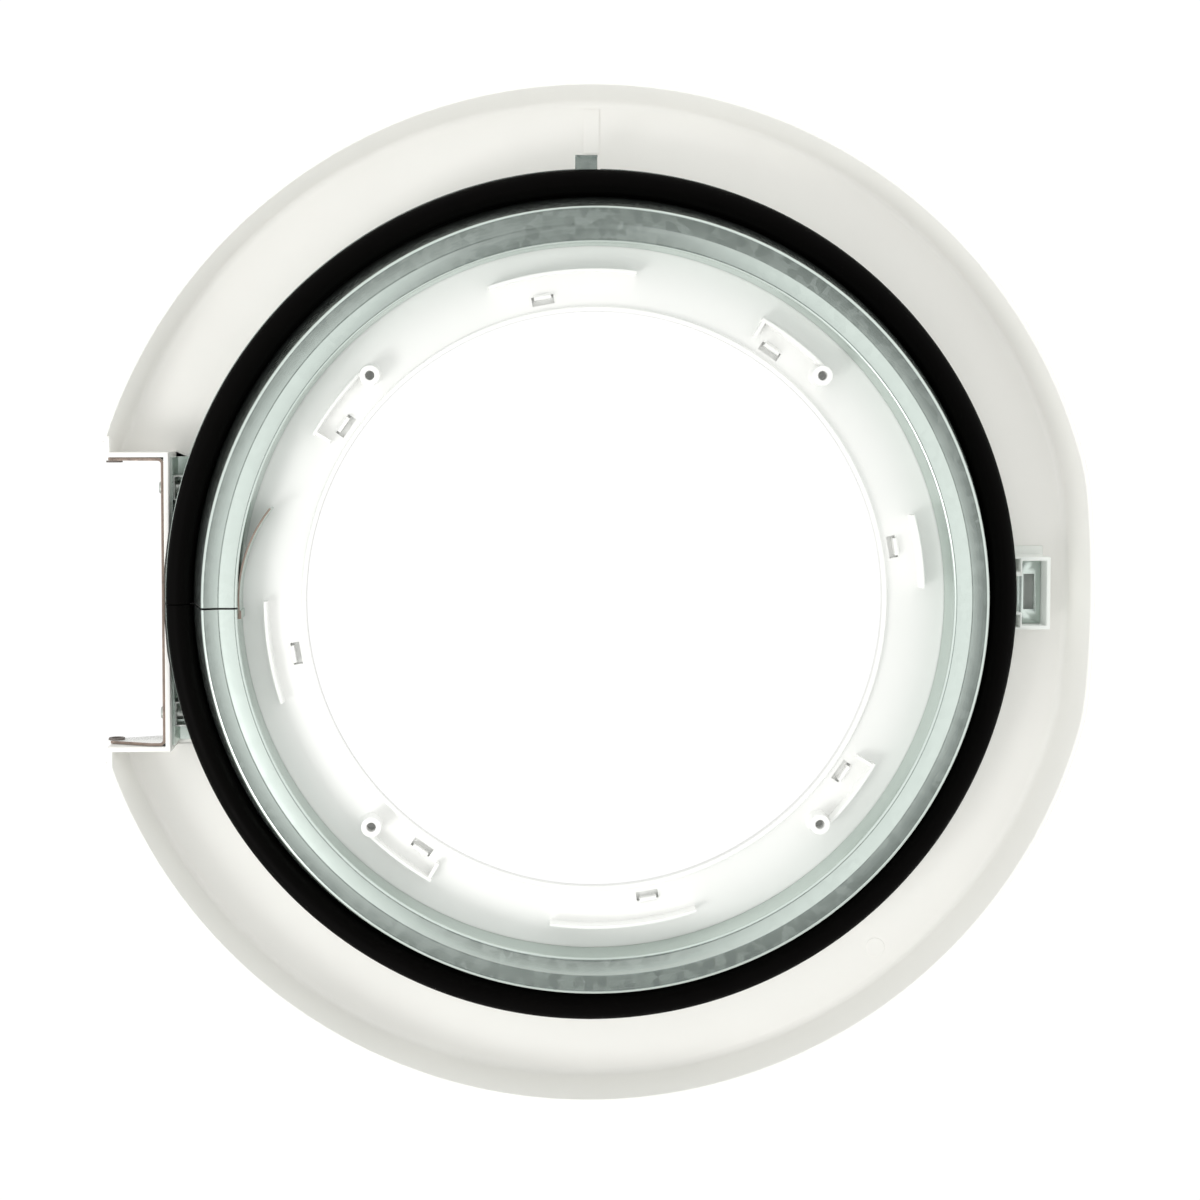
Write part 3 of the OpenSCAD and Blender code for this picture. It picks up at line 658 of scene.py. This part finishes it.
def panel_outline(size, depth, inside):
    """The panel's outline at a height above the front face, on its outer or inner surface."""
    wall = size.wall if inside else 0.0
    slope = max(size.depth - depth, 0.0) / (size.depth - size.front_edge)
    inset = wall + size.draft * min(slope, 1.0)
    inset += arc_drop(size.front_edge - wall, size.front_edge - depth)
    soft = size.inner_edge
    grow = wall
    to_rim = depth - size.depth
    if inside:
        inset -= arc_drop(soft, to_rim + soft)
        grow -= arc_drop(soft, to_rim + soft)
    else:
        inset += arc_drop(size.rim_edge, to_rim + size.rim_edge)
        grow += arc_drop(soft, to_rim + soft) + arc_drop(soft, soft - depth)
    radius = size.radius - inset
    bow = size.flat_bow - inset
    bow_centre = size.radius - size.flat_cut - size.flat_bow
    corner_x = size.corner_x - grow
    upper = notch_end(radius, corner_x, size.notch_top + grow, size.corner_height)
    lower = notch_end(radius, corner_x, size.notch_bottom + grow, size.corner_height)
    first = math.atan2(-lower[0][1], lower[0][0])
    last = math.atan2(upper[0][1], upper[0][0])
    points = []
    for i in range(ROUND_POINTS + 1):
        angle = first + (last - first) * i / ROUND_POINTS
        c, s = math.cos(angle), math.sin(angle)
        to_bow = bow_centre * c + math.sqrt(bow ** 2 - (bow_centre * s) ** 2)
        reach = smooth_lower(radius, to_bow, size.flat_blend)
        points.append((reach * c, reach * s))
    points += upper[1:]
    wall_x = grow - size.notch_x
    for i in range(NOTCH_POINTS + 1):
        t = i / NOTCH_POINTS
        points.append((wall_x, (1 - t) * (size.notch_top + grow) - t * (size.notch_bottom + grow)))
    points += [(lower[2][0], -lower[2][1]), (lower[1][0], -lower[1][1])]
    return [plan(x, y, depth) for x, y in points]


def porthole_loop(size, radius, depth):
    """The porthole's edge, with a point for each one of the outline."""
    margin = math.radians(0.5)
    upper = math.pi - math.asin(size.notch_top / size.porthole) - 2 * margin
    lower = math.pi - math.asin(size.notch_bottom / size.porthole) - 2 * margin
    angles = [-lower + (upper + lower) * i / ROUND_POINTS for i in range(ROUND_POINTS + 1)]
    angles += [upper + margin / 2, upper + margin]
    for i in range(NOTCH_POINTS + 1):
        t = i / NOTCH_POINTS
        angles.append(math.atan2((1 - t) * size.notch_top - t * size.notch_bottom, -size.notch_x))
    angles += [-lower - margin, -lower - margin / 2]
    return [plan(radius * math.cos(a), radius * math.sin(a), depth) for a in angles]


def panel_loops(size):
    """All the loops of the panel's skin, from the porthole round the rim and back to it."""
    soft, edge, rim = size.inner_edge, size.front_edge, size.rim_edge
    fine = [soft * k / 4 for k in range(5)]
    front_arc = [edge * (1 - math.cos(math.radians(a))) for a in (32, 45, 60, 75, 90)]
    outer = fine + front_arc
    rim_arc = [size.depth - rim * (1 - math.sin(math.radians(a))) for a in (0, 20, 38, 52, 66, 78, 90)]
    outer += [size.depth / 2] + rim_arc
    inner_arc = [size.depth - soft * (1 - math.cos(math.radians(a))) for a in (0, 35, 65, 90)]
    floor_arc = [edge - (edge - size.wall) * math.sin(math.radians(a)) for a in (0, 20, 40, 60, 80, 90)]
    inner = inner_arc + [size.depth / 2] + floor_arc
    loops = [panel_outline(size, d, False) for d in outer]
    loops += [panel_outline(size, d, True) for d in inner]
    hole = size.porthole
    loops += [porthole_loop(size, hole + soft, size.wall), porthole_loop(size, hole, size.wall - soft)]
    loops += [porthole_loop(size, hole, soft), porthole_loop(size, hole + soft, 0.0)]
    return loops + loops[:1]


class DOOR_OT_front_panel(bpy.types.Operator):
    """Model the front panel: a dish with a turned-back rim, a bowed latch side and a hinge notch"""

    bl_idname = "dryer_door.front_panel"
    bl_label = "Front Panel"

    def execute(self, context):
        size = context.scene.door_panel
        bm = bmesh.new()
        skin(bm, panel_loops(size))
        piece = new_object("front_panel", bm)
        self.add_posts_and_marks(piece, size)
        self.cut_holes(piece, size, context.scene.door_ring)
        smooth(piece)
        white = moulding("panel white", context.scene.door_finish.panel_white, 0.3, 0.42)
        hand_in(piece, "front_panel", "panel_white", white)
        return {"FINISHED"}

    def add_posts_and_marks(self, piece, size):
        """Screw posts, the low gate rib at the top and the round mark of an ejector pin."""
        tool = bmesh.new()
        root = 0.5 * MM
        for centre, _ in ring_of(FOOT_SCREWS, FOOT_SCREW_TURN, FOOT_SCREW_CIRCLE):
            peg(tool, SCREW, size.wall - root, POST_TOP, centre, chamfer=0.3 * MM)
        rib = (8 * MM, 22 * MM, 0.7 * MM)
        start = size.radius - 1.5 * rib[1]
        block(tool, (-rib[0] / 2, rib[0] / 2), (start, start + rib[1]),
              (size.wall - root, size.wall + rib[2]))
        mark = about_axis(EJECTOR_TURN) @ place(size.radius - 20 * MM, 0.0)
        peg(tool, 5 * MM, size.wall - root, size.wall + 0.3 * MM, mark, chamfer=0.2 * MM)
        carve(piece, tool, "UNION")

    def cut_holes(self, piece, size, ring):
        """Pilot holes of the posts, hinge holes, and the dip of the notch wall under the seal flange."""
        tool = bmesh.new()
        for centre, _ in ring_of(FOOT_SCREWS, FOOT_SCREW_TURN, FOOT_SCREW_CIRCLE):
            peg(tool, PILOT, size.wall + 0.5 * MM, POST_TOP + OVER, centre)
        for height, radius in HINGE_HOLES:
            turned = Matrix.Translation(plan(-size.notch_x + size.wall / 2, height, PIN_HEIGHT))
            turned @= Matrix.Rotation(math.pi / 2, 4, "Y")
            bmesh.ops.create_cone(tool, cap_ends=True, segments=SMALL_STEPS, radius1=radius,
                                  radius2=radius, depth=size.wall + 2 * OVER, matrix=turned)
        dip = ring.flange_top - ring.sheet - 0.3 * MM
        peg(tool, size.notch_x + 0.5 * MM, dip, size.depth + OVER)
        carve(piece, tool, "DIFFERENCE")


# Window bezel

LONG_RIBS = ((83, 109), (180, 198), (262, 288), (2, 15))
CLIPS = 8


def shoulder_z(size, radius):
    """Height of the shoulder's back surface at a radius."""
    fall = (radius - size.window) / (size.funnel - size.window)
    return size.shoulder_top - size.shoulder_fall * fall


def bezel_section(size, ring):
    """The bezel's section, from its front edge over the shoulder to the lip and back inside."""
    w, e = size.wall, size.lip_edge
    foot_top = size.foot_height + w
    under_flange = ring.flange_top - ring.sheet
    lip = size.window + w
    top = size.shoulder_top + size.lip_height
    return bent([
        (size.front, 0, 0.5 * MM),
        (size.front, size.foot_height, 0.3 * MM),
        (size.foot, size.foot_height, 0.3 * MM),
        (size.foot, foot_top, 0.6 * MM),
        (size.skirt, foot_top, 0.5 * MM),
        (size.skirt, under_flange, 0.3 * MM),
        (size.skirt - w, under_flange, 0.3 * MM),
        (size.skirt - w, foot_top, 0.6 * MM),
        (size.front - 0.6 * w, foot_top, 2 * MM),
        (size.funnel, shoulder_z(size, size.funnel), 2.5 * MM),
        (lip, shoulder_z(size, lip), 0.7 * MM),
        (lip, top, e),
        (size.window, top, e),
        (size.window, shoulder_z(size, size.window) - w, 0.4 * MM),
        (size.funnel - w, shoulder_z(size, size.funnel) - w, 1.5 * MM),
        (size.front - w, size.foot_height - 0.6 * w, 3 * MM),
        (size.front - w, 0, 0.4 * MM),
    ])


def boss_section(size):
    """A clamp boss with a flared foot and a blind pilot hole."""
    foot = shoulder_z(size, size.boss_circle)
    top = size.shoulder_top + size.boss_height
    r, hole = size.boss / 2, size.pilot / 2
    return bent([
        (0, foot - size.wall / 2, 0), (r + 0.9 * MM, foot - size.wall / 2, 0),
        (r + 0.9 * MM, foot - 0.3 * MM, 0), (r, foot + 1.1 * MM, 1.2 * MM), (r, top, 0.5 * MM),
        (hole + 0.4 * MM, top, 0), (hole, top - 0.4 * MM, 0),
        (hole, top - size.pilot_depth, 0), (0, top - size.pilot_depth - 0.6 * MM, 0),
    ])


def rib_section(size, radius, z0, z1):
    """A rib's section with a rounded crest and a flared foot."""
    half, flare = size.rib / 2, 0.5 * MM
    foot = shoulder_z(size, radius)
    return bent([
        (radius - half - flare, z0, 0), (radius + half + flare, z0, 0),
        (radius + half + flare, foot - 0.1 * MM, 0), (radius + half, foot + flare, 0.6 * MM),
        (radius + half, z1, 0.35 * MM), (radius - half, z1, 0.35 * MM),
        (radius - half, foot + flare, 0.6 * MM), (radius - half - flare, foot - 0.1 * MM, 0),
    ], segments=3)


class DOOR_OT_window_bezel(bpy.types.Operator):
    """Model the window bezel with its lip, clamp bosses, ribs, clip windows and screw posts"""

    bl_idname = "dryer_door.window_bezel"
    bl_label = "Window Bezel"

    def execute(self, context):
        size = context.scene.door_bezel
        ring = context.scene.door_ring
        bm = bmesh.new()
        lathe(bm, bezel_section(size, ring))
        piece = new_object("window_bezel", bm)
        self.add_bosses_and_posts(piece, size, ring)
        self.add_ribs(piece, size)
        self.cut_windows(piece, size, ring)
        smooth(piece)
        white = moulding("bezel white", context.scene.door_finish.bezel_white, 0.34, 0.46)
        hand_in(piece, "window_bezel", "bezel_white", white)
        return {"FINISHED"}

    def add_bosses_and_posts(self, piece, size, ring):
        """Clamp bosses on the shoulder and screw posts under the barrel ring's flange."""
        tool = bmesh.new()
        for centre, _ in ring_of(4, math.radians(45), size.boss_circle):
            lathe(tool, boss_section(size), centre, steps=2 * SMALL_STEPS, closed=False)
        foot_top = size.foot_height + size.wall
        for centre, _ in ring_of(RING_SCREWS, RING_SCREW_TURN, ring.seal_circle):
            peg(tool, 1.15 * SCREW, foot_top - 0.5 * MM, ring.flange_top - ring.sheet, centre)
        carve(piece, tool, "UNION")

    def add_ribs(self, piece, size):
        """Four long ribs and, beside each boss, a corner rib with its end wall."""
        tool = bmesh.new()
        crest = size.rib_height
        for first, last in LONG_RIBS:
            z0 = shoulder_z(size, size.rib_circle) - 0.5 * MM
            section = rib_section(size, size.rib_circle, z0, z0 + 0.5 * MM + crest)
            lathe(tool, section, start=math.radians(first), sweep=math.radians(last - first),
                  steps=3 * (last - first))
        corner_r = size.rib_circle - size.rib
        z1 = shoulder_z(size, size.rib_circle) + crest
        for boss_angle in (45, 135, 225, 315):
            section = rib_section(size, corner_r, shoulder_z(size, corner_r) - 0.5 * MM, z1)
            start = math.radians(boss_angle + 1)
            lathe(tool, section, start=start, sweep=size.corner_rib - math.radians(0.5), steps=40)
        carve(piece, tool, "UNION")
        walls = bmesh.new()
        for boss_angle in (45, 135, 225, 315):
            at_end = about_axis(math.radians(boss_angle) + size.corner_rib)
            block(walls, (corner_r - size.rib_turn, corner_r + size.rib / 8),
                  (-size.rib / 2, size.rib / 2),
                  (shoulder_z(size, corner_r) - 0.5 * MM, z1 - size.rib / 4), at_end)
        carve(piece, walls, "UNION")

    def cut_windows(self, piece, size, ring):
        """The eight clip windows and the holes of both rings of screws."""
        tool = bmesh.new()
        half_w, half_l = size.clip_width / 2, size.clip_length / 2
        low = shoulder_z(size, size.funnel) - size.wall
        for centre, turned in ring_of(CLIPS, size.clip_turn, size.clip_circle):
            block(tool, (size.clip_circle - half_w, size.clip_circle + half_w), (-half_l, half_l),
                  (low, size.shoulder_top + OVER), turned)
        for centre, _ in ring_of(RING_SCREWS, RING_SCREW_TURN, ring.seal_circle):
            peg(tool, PILOT, size.foot_height + size.wall + OVER,
                ring.flange_top, centre)
        for centre, _ in ring_of(FOOT_SCREWS, FOOT_SCREW_TURN, FOOT_SCREW_CIRCLE):
            peg(tool, SCREW / 2 + 0.2 * MM, size.foot_height - OVER,
                size.foot_height + size.wall + OVER, centre)
        carve(piece, tool, "DIFFERENCE")


class DOOR_OT_trim_ring(bpy.types.Operator):
    """Model the front trim ring with the snap hooks that fill the bezel's clip windows"""

    bl_idname = "dryer_door.trim_ring"
    bl_label = "Front Trim Ring"

    def execute(self, context):
        size = context.scene.door_bezel
        gap, thick, width = 0.3 * MM, 2 * MM, 22 * MM
        inner = size.window + 2 * gap
        outer = inner + width

        def back(radius):
            return shoulder_z(size, radius) - size.wall - gap

        section = bent([
            (inner, back(inner), 0.3 * MM), (inner, back(inner) - 1.6 * thick, 0.6 * MM),
            (inner + thick, back(inner) - 1.8 * thick, 0.8 * MM),
            (outer, back(outer) - thick, 0.5 * MM), (outer, back(outer), 0.4 * MM),
        ])
        bm = bmesh.new()
        lathe(bm, section)
        piece = new_object("front_trim_ring", bm)
        hooks = bmesh.new()
        for centre, turned in ring_of(CLIPS, size.clip_turn, size.clip_circle):
            self.add_hook(hooks, size, turned, gap, back(size.clip_circle) - thick / 2)
        carve(piece, hooks, "UNION")
        smooth(piece)
        white = moulding("trim white", context.scene.door_finish.bezel_white, 0.28, 0.4)
        hand_in(piece, "front_trim_ring", "trim_white", white)
        return {"FINISHED"}

    def add_hook(self, bm, size, turned, gap, root_z):
        """One snap arm with the barb that grips over the shoulder."""
        outer = size.clip_circle + size.clip_width / 2 - gap
        inner = outer - 1.5 * MM
        barb_z = shoulder_z(size, size.clip_circle - size.clip_width / 2) + gap
        reach = 1.2 * MM
        profile = [
            (inner, root_z), (outer, root_z), (outer, barb_z), (outer + reach, barb_z),
            (outer, barb_z + 2 * reach), (inner, barb_z + 2 * reach),
        ]
        half = size.clip_length / 2 - gap - OVER
        verts, edges = chain(bm, [plan(x, -half, z) for x, z in profile], True)
        face = bmesh.ops.contextual_create(bm, geom=edges)["faces"]
        grown = bmesh.ops.extrude_face_region(bm, geom=face, use_keep_orig=True)["geom"]
        far = [g for g in grown if isinstance(g, bmesh.types.BMVert)]
        bmesh.ops.translate(bm, verts=far, vec=plan(0, 2 * half, 0))
        bmesh.ops.transform(bm, matrix=turned, verts=verts + far)


# Barrel ring and seal

def ring_path(ring, bezel):
    """The barrel ring's outer surface: flange, outer wall, creased crown and inner wall."""
    crown = ring.base - ring.lean
    bore = crown - ring.crown
    top = ring.crown_top
    return bent([
        (ring.flange, ring.flange_top, 0),
        (ring.base, ring.flange_top, 0.9 * MM),
        (crown, top, ring.bend),
        (bore + ring.crease_offset, top - ring.crease_depth, 3 * MM),
        (bore, top - ring.crease_depth / 5, ring.bend),
        (bore, shoulder_z(bezel, bore) + 0.3 * MM, 0),
    ], segments=6)


class DOOR_OT_barrel_ring(bpy.types.Operator):
    """Model the galvanised barrel ring with its seam, sprung joint tongue and top lug"""

    bl_idname = "dryer_door.barrel_ring"
    bl_label = "Barrel Ring"

    def execute(self, context):
        ring = context.scene.door_ring
        bezel = context.scene.door_bezel
        path = ring_path(ring, bezel)
        section = path + beside(path, ring.sheet)[::-1]
        middle = ring.base - ring.lean
        seam = math.pi + math.asin(ring.seam_drop / middle)
        half_gap = ring.seam_gap / middle / 2
        bm = bmesh.new()
        lathe(bm, section, start=seam + half_gap, sweep=FULL_TURN - 2 * half_gap)
        piece = new_object("barrel_ring", bm)
        self.add_lug(piece, ring)
        self.add_tongue(piece, ring, bezel)
        smooth(piece, degrees=35)
        finish = context.scene.door_finish
        hand_in(piece, "barrel_ring", "galvanised_sheet",
                galvanised("galvanised ring", finish.zinc_sheet), bare_steel(finish.bare_steel))
        self.brown_the_tongue(piece, ring)
        return {"FINISHED"}

    def add_lug(self, piece, ring):
        """The lug turned up out of the flange at the top, the slit beside it and the screw holes."""
        right, wide, reach, tall = 1.6 * MM, 11 * MM, 6.5 * MM, 3.4 * MM
        under = ring.flange_top - ring.sheet
        end = ring.flange + reach
        tool = bmesh.new()
        block(tool, (right - wide, right), (ring.flange - 3 * MM, end - 0.5 * ring.sheet),
              (under, ring.flange_top))
        carve(piece, tool, "UNION")
        tool = bmesh.new()
        block(tool, (right - wide, right), (end - ring.sheet, end), (under, under + tall))
        carve(piece, tool, "UNION")
        tool = bmesh.new()
        block(tool, (right, 2 * right), (ring.flange - 2.5 * MM, end + OVER),
              (under - OVER, ring.flange_top + OVER))
        for centre, _ in ring_of(RING_SCREWS, RING_SCREW_TURN, ring.seal_circle):
            peg(tool, SCREW / 2 + 0.2 * MM, under - OVER, ring.flange_top + OVER, centre)
        carve(piece, tool, "DIFFERENCE")

    def add_tongue(self, piece, ring, bezel):
        """The joint tongue that has sprung inwards from the ring's bore just past the seam."""
        t = ring.sheet
        bore = ring.base - ring.lean - ring.crown
        z1 = ring.crown_top - ring.tongue_drop
        z0 = shoulder_z(bezel, bore) + ring.tongue_clear
        left, top = -bore - t / 2, -ring.seam_drop - ring.seam_gap
        tool = bmesh.new()
        block(tool, (left, left + 2.2 * t), (top - 4 * t, top), (z0 + t / 2, z1 - t / 2))
        carve(piece, tool, "UNION")
        centre = plan(ring.tongue - bore + 0.4 * t, 1.5 * t, 0)
        inner, outer = ring.tongue - t / 2, ring.tongue + t / 2
        tool = bmesh.new()
        lathe(tool, bent([(inner, z0, 0.15 * MM), (outer, z0, 0.15 * MM), (outer, z1, 0.15 * MM),
                          (inner, z1, 0.15 * MM)], segments=2),
              centre, start=math.pi - ring.tongue_turn, sweep=ring.tongue_turn + math.radians(5),
              steps=48)
        carve(piece, tool, "UNION")

    def brown_the_tongue(self, piece, ring):
        """Gives the tongue's edge towards the viewer the bare steel finish."""
        bore = ring.base - ring.lean - ring.crown
        for face in piece.data.polygons:
            radius = math.hypot(face.center.x, face.center.z)
            if radius < bore - 0.3 * MM and face.normal.dot(DRUM_SIDE) > 0.7:
                face.material_index = 1


class DOOR_OT_seal(bpy.types.Operator):
    """Model the black rubber seal with its channel and its joint at the left"""

    bl_idname = "dryer_door.seal"
    bl_label = "Seal"

    def execute(self, context):
        ring = context.scene.door_ring
        middle, half, channel = ring.seal_circle, ring.seal_width / 2, ring.seal_channel / 2
        foot, top = ring.flange_top, ring.flange_top + ring.seal_foot
        dome = [(middle + half * math.cos(math.radians(a)),
                 top + half * math.sin(math.radians(a)), 0) for a in range(0, 181, 10)]
        section = bent([
            (middle - half, foot, 0.4 * MM), (middle - channel, foot, 0.3 * MM),
            (middle - channel, foot + ring.channel_depth, 0.5 * MM),
            (middle + channel, foot + ring.channel_depth, 0.5 * MM),
            (middle + channel, foot, 0.3 * MM), (middle + half, foot, 0.4 * MM),
        ] + dome, segments=3)
        joint = math.pi + math.asin(ring.seam_drop / middle)
        half_gap = ring.seal_gap / middle / 2
        bm = bmesh.new()
        lathe(bm, section, start=joint + half_gap, sweep=FULL_TURN - 2 * half_gap)
        piece = new_object("door_seal", bm)
        smooth(piece)
        hand_in(piece, "door_seal", "seal_rubber", seal_rubber(context.scene.door_finish.rubber))
        return {"FINISHED"}


# Hinge and latch hardware

class DOOR_OT_hinge(bpy.types.Operator):
    """Finish the hinge bracket, its bushes and the reinforcement behind the notch"""

    bl_idname = "dryer_door.hinge"
    bl_label = "Hinge"

    def execute(self, context):
        finish = context.scene.door_finish
        bracket = cad_copy("hinge_bracket", 0.2 * MM)
        paint = moulding("bracket paint", finish.bezel_white, 0.22, 0.36)
        hand_in(bracket, "hinge_bracket", "bracket_paint", paint, bare_steel(finish.bare_steel))
        for face in bracket.data.polygons:
            if abs(face.normal.dot(DRUM_SIDE)) > 0.8:
                face.material_index = 1
        plate = cad_copy("hinge_reinforcement", 0.2 * MM)
        hand_in(plate, "hinge_reinforcement", "galvanised_sheet",
                galvanised("galvanised plate", finish.zinc_sheet, 300.0))
        for node in ("hinge_bush_upper", "hinge_bush_lower"):
            bush = cad_copy(node, 0.15 * MM)
            hand_in(bush, node, "bush_plastic", bush_plastic(finish.bush))
        return {"FINISHED"}


class DOOR_OT_hinge_fasteners(bpy.types.Operator):
    """Finish the hinge screws, rivets and nut clips"""

    bl_idname = "dryer_door.hinge_fasteners"
    bl_label = "Hinge Fasteners"

    def execute(self, context):
        finish = context.scene.door_finish
        zinc = plated("screw zinc", finish.screw_zinc, 0.3, 0.45)
        spring = plated("spring steel", finish.screw_zinc, 0.25, 0.4)
        for place_name in ("upper", "lower"):
            for kind, slot, material in (
                ("hinge_screw", "zinc_screw", zinc), ("hinge_rivet", "zinc_screw", zinc),
                ("nut_clip", "spring_steel", spring),
            ):
                node = f"{kind}_{place_name}"
                hand_in(cad_copy(node, 0.12 * MM), node, slot, material)
        return {"FINISHED"}


class DOOR_OT_latch(bpy.types.Operator):
    """Finish the latch housing and its strike"""

    bl_idname = "dryer_door.latch"
    bl_label = "Latch Socket"

    def execute(self, context):
        finish = context.scene.door_finish
        housing = cad_copy("latch_housing", 0.5 * MM)
        hand_in(housing, "latch_housing", "latch_white",
                moulding("latch white", finish.latch_white, 0.34, 0.46))
        strike = cad_copy("latch_strike", 0.25 * MM)
        hand_in(strike, "latch_strike", "galvanised_sheet",
                galvanised("galvanised strike", finish.zinc_sheet, 300.0))
        return {"FINISHED"}


class DOOR_OT_rim_screws(bpy.types.Operator):
    """Finish the screws under the seal and in the bezel's foot"""

    bl_idname = "dryer_door.rim_screws"
    bl_label = "Rim Screws"

    def execute(self, context):
        zinc = plated("screw zinc", context.scene.door_finish.screw_zinc, 0.3, 0.45)
        for node in ("foot_screws", "ring_screws"):
            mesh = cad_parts[node].data
            mesh.materials.clear()
            mesh.materials.append(zinc)
        return {"FINISHED"}


# Stage

class DOOR_OT_stage(bpy.types.Operator):
    """Set up the pale floor, the soft studio light and the camera of the photograph"""

    bl_idname = "dryer_door.stage"
    bl_label = "Stage"

    def execute(self, context):
        studio = context.scene.door_studio
        self.add_floor()
        self.add_world(context.scene, studio)
        self.add_lights(studio)
        self.add_camera(context.scene, studio)
        context.scene.view_settings.view_transform = "Standard"
        context.scene.view_settings.look = "None"
        return {"FINISHED"}

    def add_floor(self):
        """A round pale floor well below the hanging door."""
        bm = bmesh.new()
        bmesh.ops.create_circle(bm, cap_ends=True, segments=96, radius=2.0)
        bmesh.ops.translate(bm, verts=bm.verts, vec=(0.0, 0.0, -1.2))
        floor = new_object("studio_floor", bm)
        material, tree, surface, coords = new_material("studio floor")
        patch = tree.noise(coords, 3.0)
        tree.feed(surface["Base Color"], tree.tint(patch, (0.86, 0.86, 0.85, 1), (0.9, 0.9, 0.89, 1)))
        surface["Roughness"].default_value = 0.8
        floor.data.materials.append(material)

    def add_world(self, scene, studio):
        """A bright room with a dark band behind the lens, a dimmer front side and a white backdrop."""
        world = bpy.data.worlds.new("studio light")
        world.use_nodes = True
        scene.world = world
        world.node_tree.nodes.clear()
        tree = Tree(world.node_tree)
        way = tree.add("ShaderNodeSeparateXYZ")
        tree.feed(way.inputs[0], tree.add("ShaderNodeTexCoord").outputs["Generated"])
        beside_camera = tree.math("SUBTRACT", way.outputs["X"], 0.03)
        across = tree.math("POWER", tree.math("ABSOLUTE", tree.math("DIVIDE", beside_camera, 0.15)), 2.0)
        upright = tree.math("POWER", tree.math("ABSOLUTE", tree.math("DIVIDE", way.outputs["Z"], 0.9)), 2.0)
        oval = tree.math("ADD", across, upright)
        behind = tree.spread(way.outputs["Y"], 0.0, 0.2, 0.0, 4.0)
        bright = tree.spread(tree.math("ADD", oval, behind), 0.25, 1.5, 0.0, 1.0)
        drum_room = tree.tint(bright, (0.05, 0.06, 0.055, 1.0), (1.0, 1.0, 0.985, 1.0))
        rising = tree.spread(way.outputs["Z"], -0.7, 0.8, 0.0, 1.0)
        front_room = tree.tint(rising, (0.22, 0.22, 0.22, 1.0), (0.72, 0.72, 0.71, 1.0))
        to_front = tree.spread(way.outputs["Y"], -0.05, 0.25, 0.0, 1.0)
        room = tree.tint(to_front, drum_room, front_room)
        soft = tree.add("ShaderNodeBackground")
        tree.feed(soft.inputs["Color"], room)
        soft.inputs["Strength"].default_value = studio.ambient
        behind_door = tree.spread(way.outputs["Y"], -0.1, 0.7, 0.0, 1.0)
        backdrop = tree.tint(behind_door, (0.52, 0.52, 0.51, 1.0), (1.0, 1.0, 1.0, 1.0))
        white = tree.add("ShaderNodeBackground")
        tree.feed(white.inputs["Color"], backdrop)
        white.inputs["Strength"].default_value = 1.05
        seen = tree.add("ShaderNodeLightPath").outputs["Is Camera Ray"]
        mix = tree.add("ShaderNodeMixShader")
        tree.feed(mix.inputs[0], seen)
        tree.feed(mix.inputs[1], soft.outputs[0])
        tree.feed(mix.inputs[2], white.outputs[0])
        tree.feed(tree.add("ShaderNodeOutputWorld").inputs[0], mix.outputs[0])

    def add_lights(self, studio):
        """A soft key light from the lower left."""
        light = bpy.data.lights.new("key light", "AREA")
        light.shape = "DISK"
        light.size = 0.7
        light.energy = studio.key
        light.color = (1.0, 0.995, 0.98)
        lamp = bpy.data.objects.new("key light", light)
        lamp.location = (-1.15, -1.35, -0.75)
        lamp.rotation_euler = (-lamp.location).to_track_quat("-Z", "Y").to_euler()
        bpy.context.scene.collection.objects.link(lamp)

    def add_camera(self, scene, studio):
        """Stands up left of the axis, half turned and half shifted towards the door."""
        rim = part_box("front_panel")[0].y
        eye = Vector((-studio.eye_x, rim - studio.distance, studio.eye_z))
        middle = Vector((3 * MM, rim, -1 * MM))
        foot = Vector((eye.x, rim, eye.z))
        aim = (middle + foot) / 2
        data = bpy.data.cameras.new("photo camera")
        data.sensor_width = 36.0
        data.lens = data.sensor_width * studio.distance / studio.frame_width
        data.shift_x = (middle.x - aim.x) / studio.frame_width
        data.shift_y = (middle.z - aim.z) / studio.frame_width
        data.clip_start = 0.05
        camera = bpy.data.objects.new("photo camera", data)
        camera.location = eye
        camera.rotation_euler = (aim - eye).to_track_quat("-Z", "Y").to_euler()
        scene.collection.objects.link(camera)
        scene.camera = camera


GROUPS = {
    "door_panel": PanelSizes, "door_bezel": BezelSizes, "door_ring": RingSizes,
    "door_finish": Finishes, "door_studio": StudioSettings,
}
PIECES = (
    DOOR_OT_stage, DOOR_OT_front_panel, DOOR_OT_window_bezel, DOOR_OT_trim_ring,
    DOOR_OT_barrel_ring, DOOR_OT_seal, DOOR_OT_hinge, DOOR_OT_hinge_fasteners,
    DOOR_OT_latch, DOOR_OT_rim_screws,
)


class DOOR_PT_builder(bpy.types.Panel):
    """Lists the door's pieces in the sidebar"""

    bl_label = "Dryer Door"
    bl_idname = "DOOR_PT_builder"
    bl_space_type = "VIEW_3D"
    bl_region_type = "UI"
    bl_category = "Dryer Door"

    def draw(self, context):
        for operator in PIECES:
            self.layout.operator(operator.bl_idname)


def register():
    for group in GROUPS.values():
        bpy.utils.register_class(group)
    for name, group in GROUPS.items():
        setattr(bpy.types.Scene, name, bpy.props.PointerProperty(type=group))
    for operator in PIECES:
        bpy.utils.register_class(operator)
    bpy.utils.register_class(DOOR_PT_builder)


def unregister():
    bpy.utils.unregister_class(DOOR_PT_builder)
    for operator in reversed(PIECES):
        bpy.utils.unregister_class(operator)
    for name in GROUPS:
        delattr(bpy.types.Scene, name)
    for group in GROUPS.values():
        bpy.utils.unregister_class(group)


def build_door():
    """Runs every operator in order."""
    register()
    for operator in PIECES:
        family, name = operator.bl_idname.split(".")
        getattr(getattr(bpy.ops, family), name)()


if __name__ == "__main__":
    build_door()
